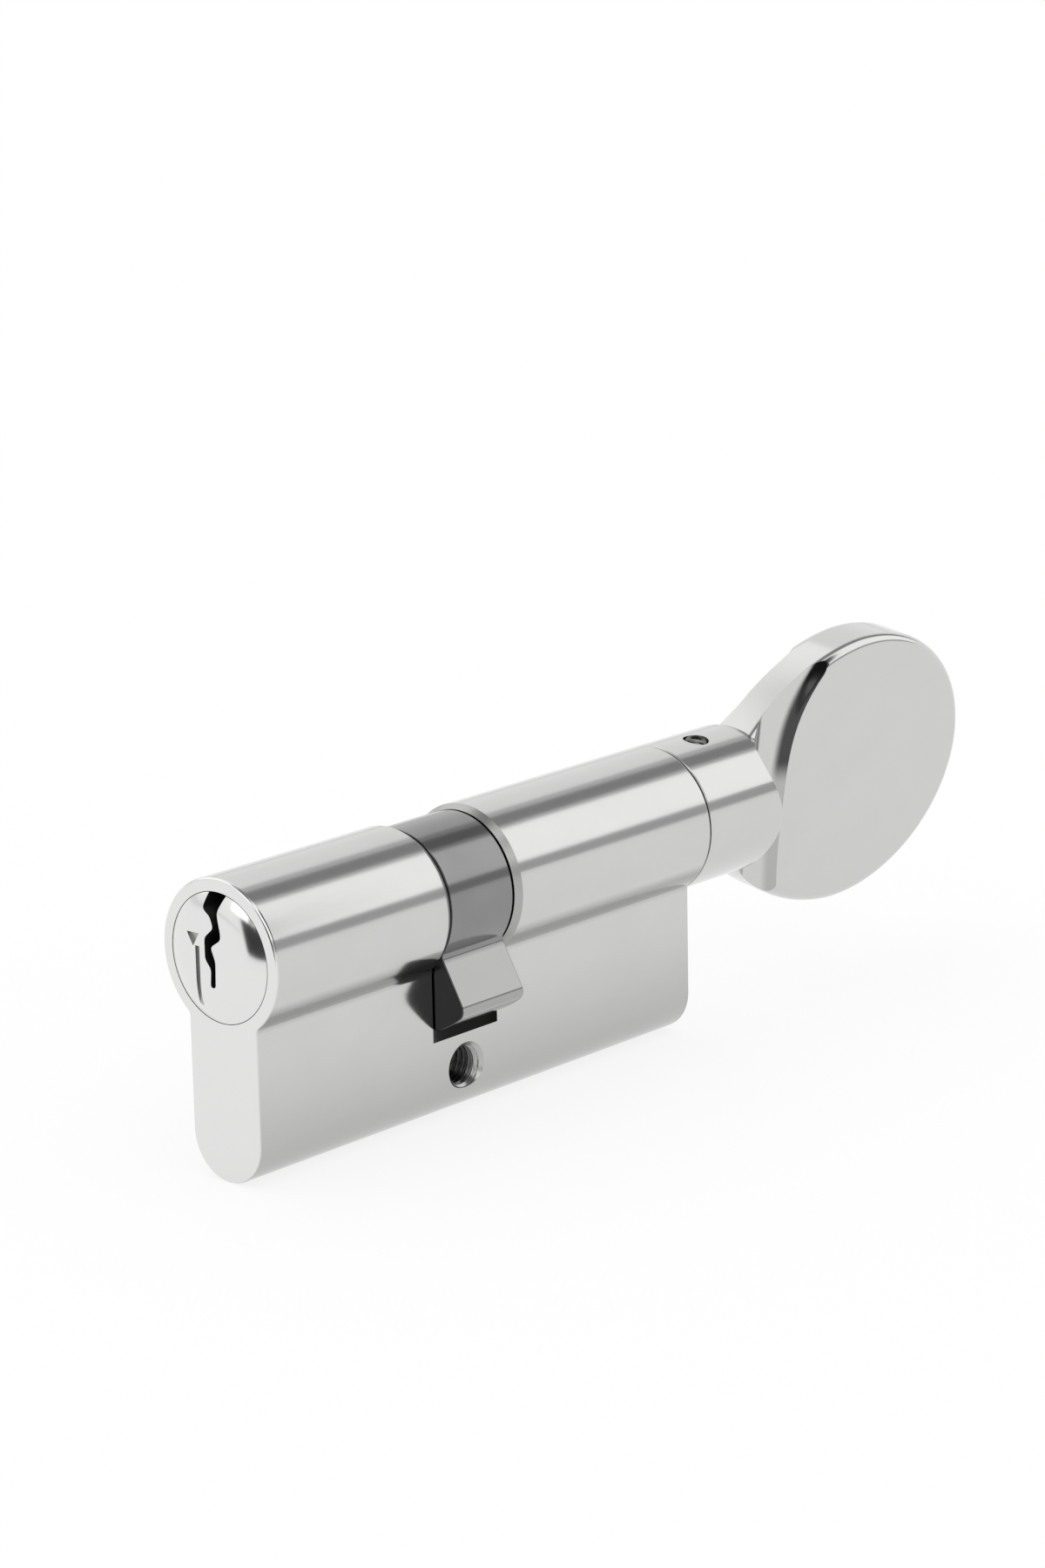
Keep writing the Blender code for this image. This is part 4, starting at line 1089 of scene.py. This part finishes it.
# %% Circlips and brake ball
CLIP_INNER = 5.85 * MM
CLIP_WIDTH = 1.45 * MM
CLIP_END_WIDTH = 1.1 * MM
CLIP_OPENING = 3.0 * MM
CLIP_ROUND = 0.15
BALL_END = 0.02


def make_circlip(node, body):
    """outer radius = inner + end width + (width - end width) (1 - cos a) / 2, with a from the opening."""
    low, high = span(node, 0)
    gap = math.asin(CLIP_OPENING / 2 / CLIP_INNER)
    angle = np.linspace(gap, TAU - gap, 96)[:, None]
    width = CLIP_END_WIDTH + (CLIP_WIDTH - CLIP_END_WIDTH) * (1 - np.cos(angle)) / 2
    section = eased([(0, 0), (1, 0), (1, 1), (0, 1)], CLIP_ROUND, closed=True)
    radius = CLIP_INNER + width * section[None, :, 1]
    along = np.broadcast_to(low + (high - low) * section[None, :, 0], radius.shape)
    rows = np.stack([along, -radius * np.sin(angle), radius * np.cos(angle)], axis=-1)
    seat(skin("fine_" + node, rows, SPRING_STEEL), body)


def make_brake_ball():
    """Half a circle that ends just short of the axis, turned about it."""
    low, high = span("brake_ball", 2)
    radius = (high - low) / 2
    half_circle = circle(np.linspace(BALL_END, math.pi - BALL_END, 40))
    profile = radius * half_circle * (-1, 1) + ((low + high) / 2, 0)
    ball = turned("fine_brake_ball", profile, HARD_STEEL, sides=64)
    seat(standing(ball, BRAKE_PLACE), "brake_ball")


make_circlip("plug_circlip", "key_plug")
make_circlip("spindle_circlip", "turn")
make_brake_ball()

# %% [markdown]
# ## Camera
# The photograph looks down a little on the key side. The camera stands on a line from the middle of
# the object, far enough away that the barrel hardly narrows, with a long lens.

# %% Set the camera
CAMERA_AZIMUTH = math.radians(-47.0)
CAMERA_ELEVATION = math.radians(15.08)
CAMERA_ROLL = math.radians(-1.2)
CAMERA_DISTANCE = 490 * MM
CAMERA_TARGET = Vector((15.18 * MM, 0, 8.75 * MM))
CAMERA_LENS = 102.77


def make_camera():
    data = bpy.data.cameras.new("camera")
    data.lens = CAMERA_LENS
    camera = bpy.data.objects.new("camera", data)
    bpy.context.scene.collection.objects.link(camera)
    level = math.cos(CAMERA_ELEVATION)
    back = Vector((
        math.sin(CAMERA_AZIMUTH) * level,
        -math.cos(CAMERA_AZIMUTH) * level,
        math.sin(CAMERA_ELEVATION),
    ))
    turn = back.to_track_quat("Z", "Y").to_matrix().to_4x4()
    roll = Matrix.Rotation(CAMERA_ROLL, 4, "Z")
    camera.matrix_world = Matrix.Translation(CAMERA_TARGET + back * CAMERA_DISTANCE) @ turn @ roll
    bpy.context.scene.camera = camera


make_camera()

# %% [markdown]
# ## Studio
# Polished metal looks like what it reflects. The studio is white all round, the floor gives off most of
# its light itself, and cards that only reflections see draw the stripes. A card is a plain sheet with
# four corners. A band is a card that runs along the barrel, and a patch faces one point of the object.

# %% Floor, world and cards
FLOOR_SIZE = 6.0
FLOOR_GLOW = 0.8
BAND_REACH = 2.4


def glow(name, strength):
    """A material that gives off plain white light."""
    made = bpy.data.materials.new(name)
    made.use_nodes = True
    nodes, links = made.node_tree.nodes, made.node_tree.links
    nodes.remove(nodes["Principled BSDF"])
    emission = nodes.new("ShaderNodeEmission")
    emission.inputs["Strength"].default_value = strength
    links.new(emission.outputs[0], nodes["Material Output"].inputs["Surface"])
    return made


def sheet(name, points, material):
    """A sheet with four corners that belongs to the studio and not to the object."""
    mesh = bpy.data.meshes.new(name)
    mesh.from_pydata(points, [], [(0, 1, 2, 3)])
    mesh.materials.append(material)
    made = bpy.data.objects.new(name, mesh)
    bpy.context.scene.collection.objects.link(made)
    return made


def card(name, points, strength):
    """A studio card that only glossy reflections see."""
    made = sheet(name, points, glow(name, strength))
    made.visible_camera = False
    made.visible_diffuse = False
    made.visible_shadow = False
    made.visible_transmission = False


def band(name, near, far, strength, reach=BAND_REACH):
    """A card that runs along X, between two edges that are given as (y, z)."""
    points = [(-reach, *near), (reach, *near), (reach, *far), (-reach, *far)]
    card(name, points, strength)


def patch(name, seen_from, toward, distance, size, strength):
    """A card that faces a point, in a direction and at a distance from it. Its size is across and up."""
    toward = Vector(toward).normalized()
    middle = Vector(seen_from) + distance * toward
    across = toward.cross((0, 0, 1)).normalized() * size[0] / 2
    up = across.cross(toward).normalized() * size[1] / 2
    points = [middle - across - up, middle + across - up, middle + across + up, middle - across + up]
    card(name, points, strength)


def make_floor():
    material = glow("pale_floor", 1.0)
    nodes, links = material.node_tree.nodes, material.node_tree.links
    diffuse = nodes.new("ShaderNodeBsdfDiffuse")
    diffuse.inputs["Color"].default_value = (1, 1, 1, 1)
    mix = nodes.new("ShaderNodeMixShader")
    mix.inputs[0].default_value = FLOOR_GLOW
    links.new(diffuse.outputs[0], mix.inputs[1])
    links.new(nodes["Emission"].outputs[0], mix.inputs[2])
    links.new(mix.outputs[0], nodes["Material Output"].inputs["Surface"])
    half = FLOOR_SIZE / 2
    square = [(-half, -half), (half, -half), (half, half), (-half, half)]
    sheet("floor", [(along, across, BODY_BOTTOM) for along, across in square], material)


def make_world():
    world = bpy.data.worlds.new("studio")
    world.use_nodes = True
    background = world.node_tree.nodes["Background"]
    background.inputs["Color"].default_value = (1, 1, 1, 1)
    background.inputs["Strength"].default_value = 1.0
    bpy.context.scene.world = world


make_floor()
make_world()
bpy.context.scene.view_settings.view_transform = "Standard"

# %% [markdown]
# A point of the barrel whose normal leans by t from the top to the front mirrors the direction that leans
# by 2 t - 68 degrees, because the camera itself leans by 68. So the wide dark stripe near the top comes
# from a strip overhead, which a half dark fringe softens. The bright band below it comes from a panel in
# front, and the thin stripe from a line low in front. Behind stand a panel for the knob's rim and a line
# for the far side. A shade in front of the knob darkens the hollow beside its edge. A glint and a shade
# before the plug give its dome a light and a dark side.

# %% Place the cards
OVERHEAD = 0.4
LAYER = 0.005
IN_FRONT = -0.8
BEHIND = 0.8
KNOB_SHADE = [(-0.13, -0.2, 0.32), (0.24, -0.12, 0.38), (0.25, -0.34, 0.13), (0.09, -0.42, 0.06)]
GLINT_POINT = (NOSE, 0, 3 * MM)
GLINT_TOWARD = (-0.82, 0.2, 0.53)
SHADE_POINT = (NOSE, -6 * MM, 2 * MM)
SHADE_TOWARD = (-0.97, -0.1, 0.12)

band("dark_strip", (-0.04, OVERHEAD), (0.10, OVERHEAD), 0.29)
band("dark_fringe", (-0.08, OVERHEAD + LAYER), (0.18, OVERHEAD + LAYER), 0.6)
band("bright_panel", (IN_FRONT, 0.345), (-0.09, OVERHEAD + 2 * LAYER), 1.32)
band("front_line", (IN_FRONT, 0.11), (IN_FRONT, 0.33), 0.46)
band("back_panel", (0.19, OVERHEAD + 2 * LAYER), (BEHIND, 0.3), 1.3, reach=0.35)
band("back_line", (BEHIND, 0.10), (BEHIND, 0.195), 0.8)
card("knob_shade", KNOB_SHADE, 0.05)
patch("plug_glint", GLINT_POINT, GLINT_TOWARD, distance=0.4, size=(0.16, 0.14), strength=1.7)
patch("plug_shade", SHADE_POINT, SHADE_TOWARD, distance=0.08, size=(0.06, 0.046), strength=0.03)
print("studio ready")
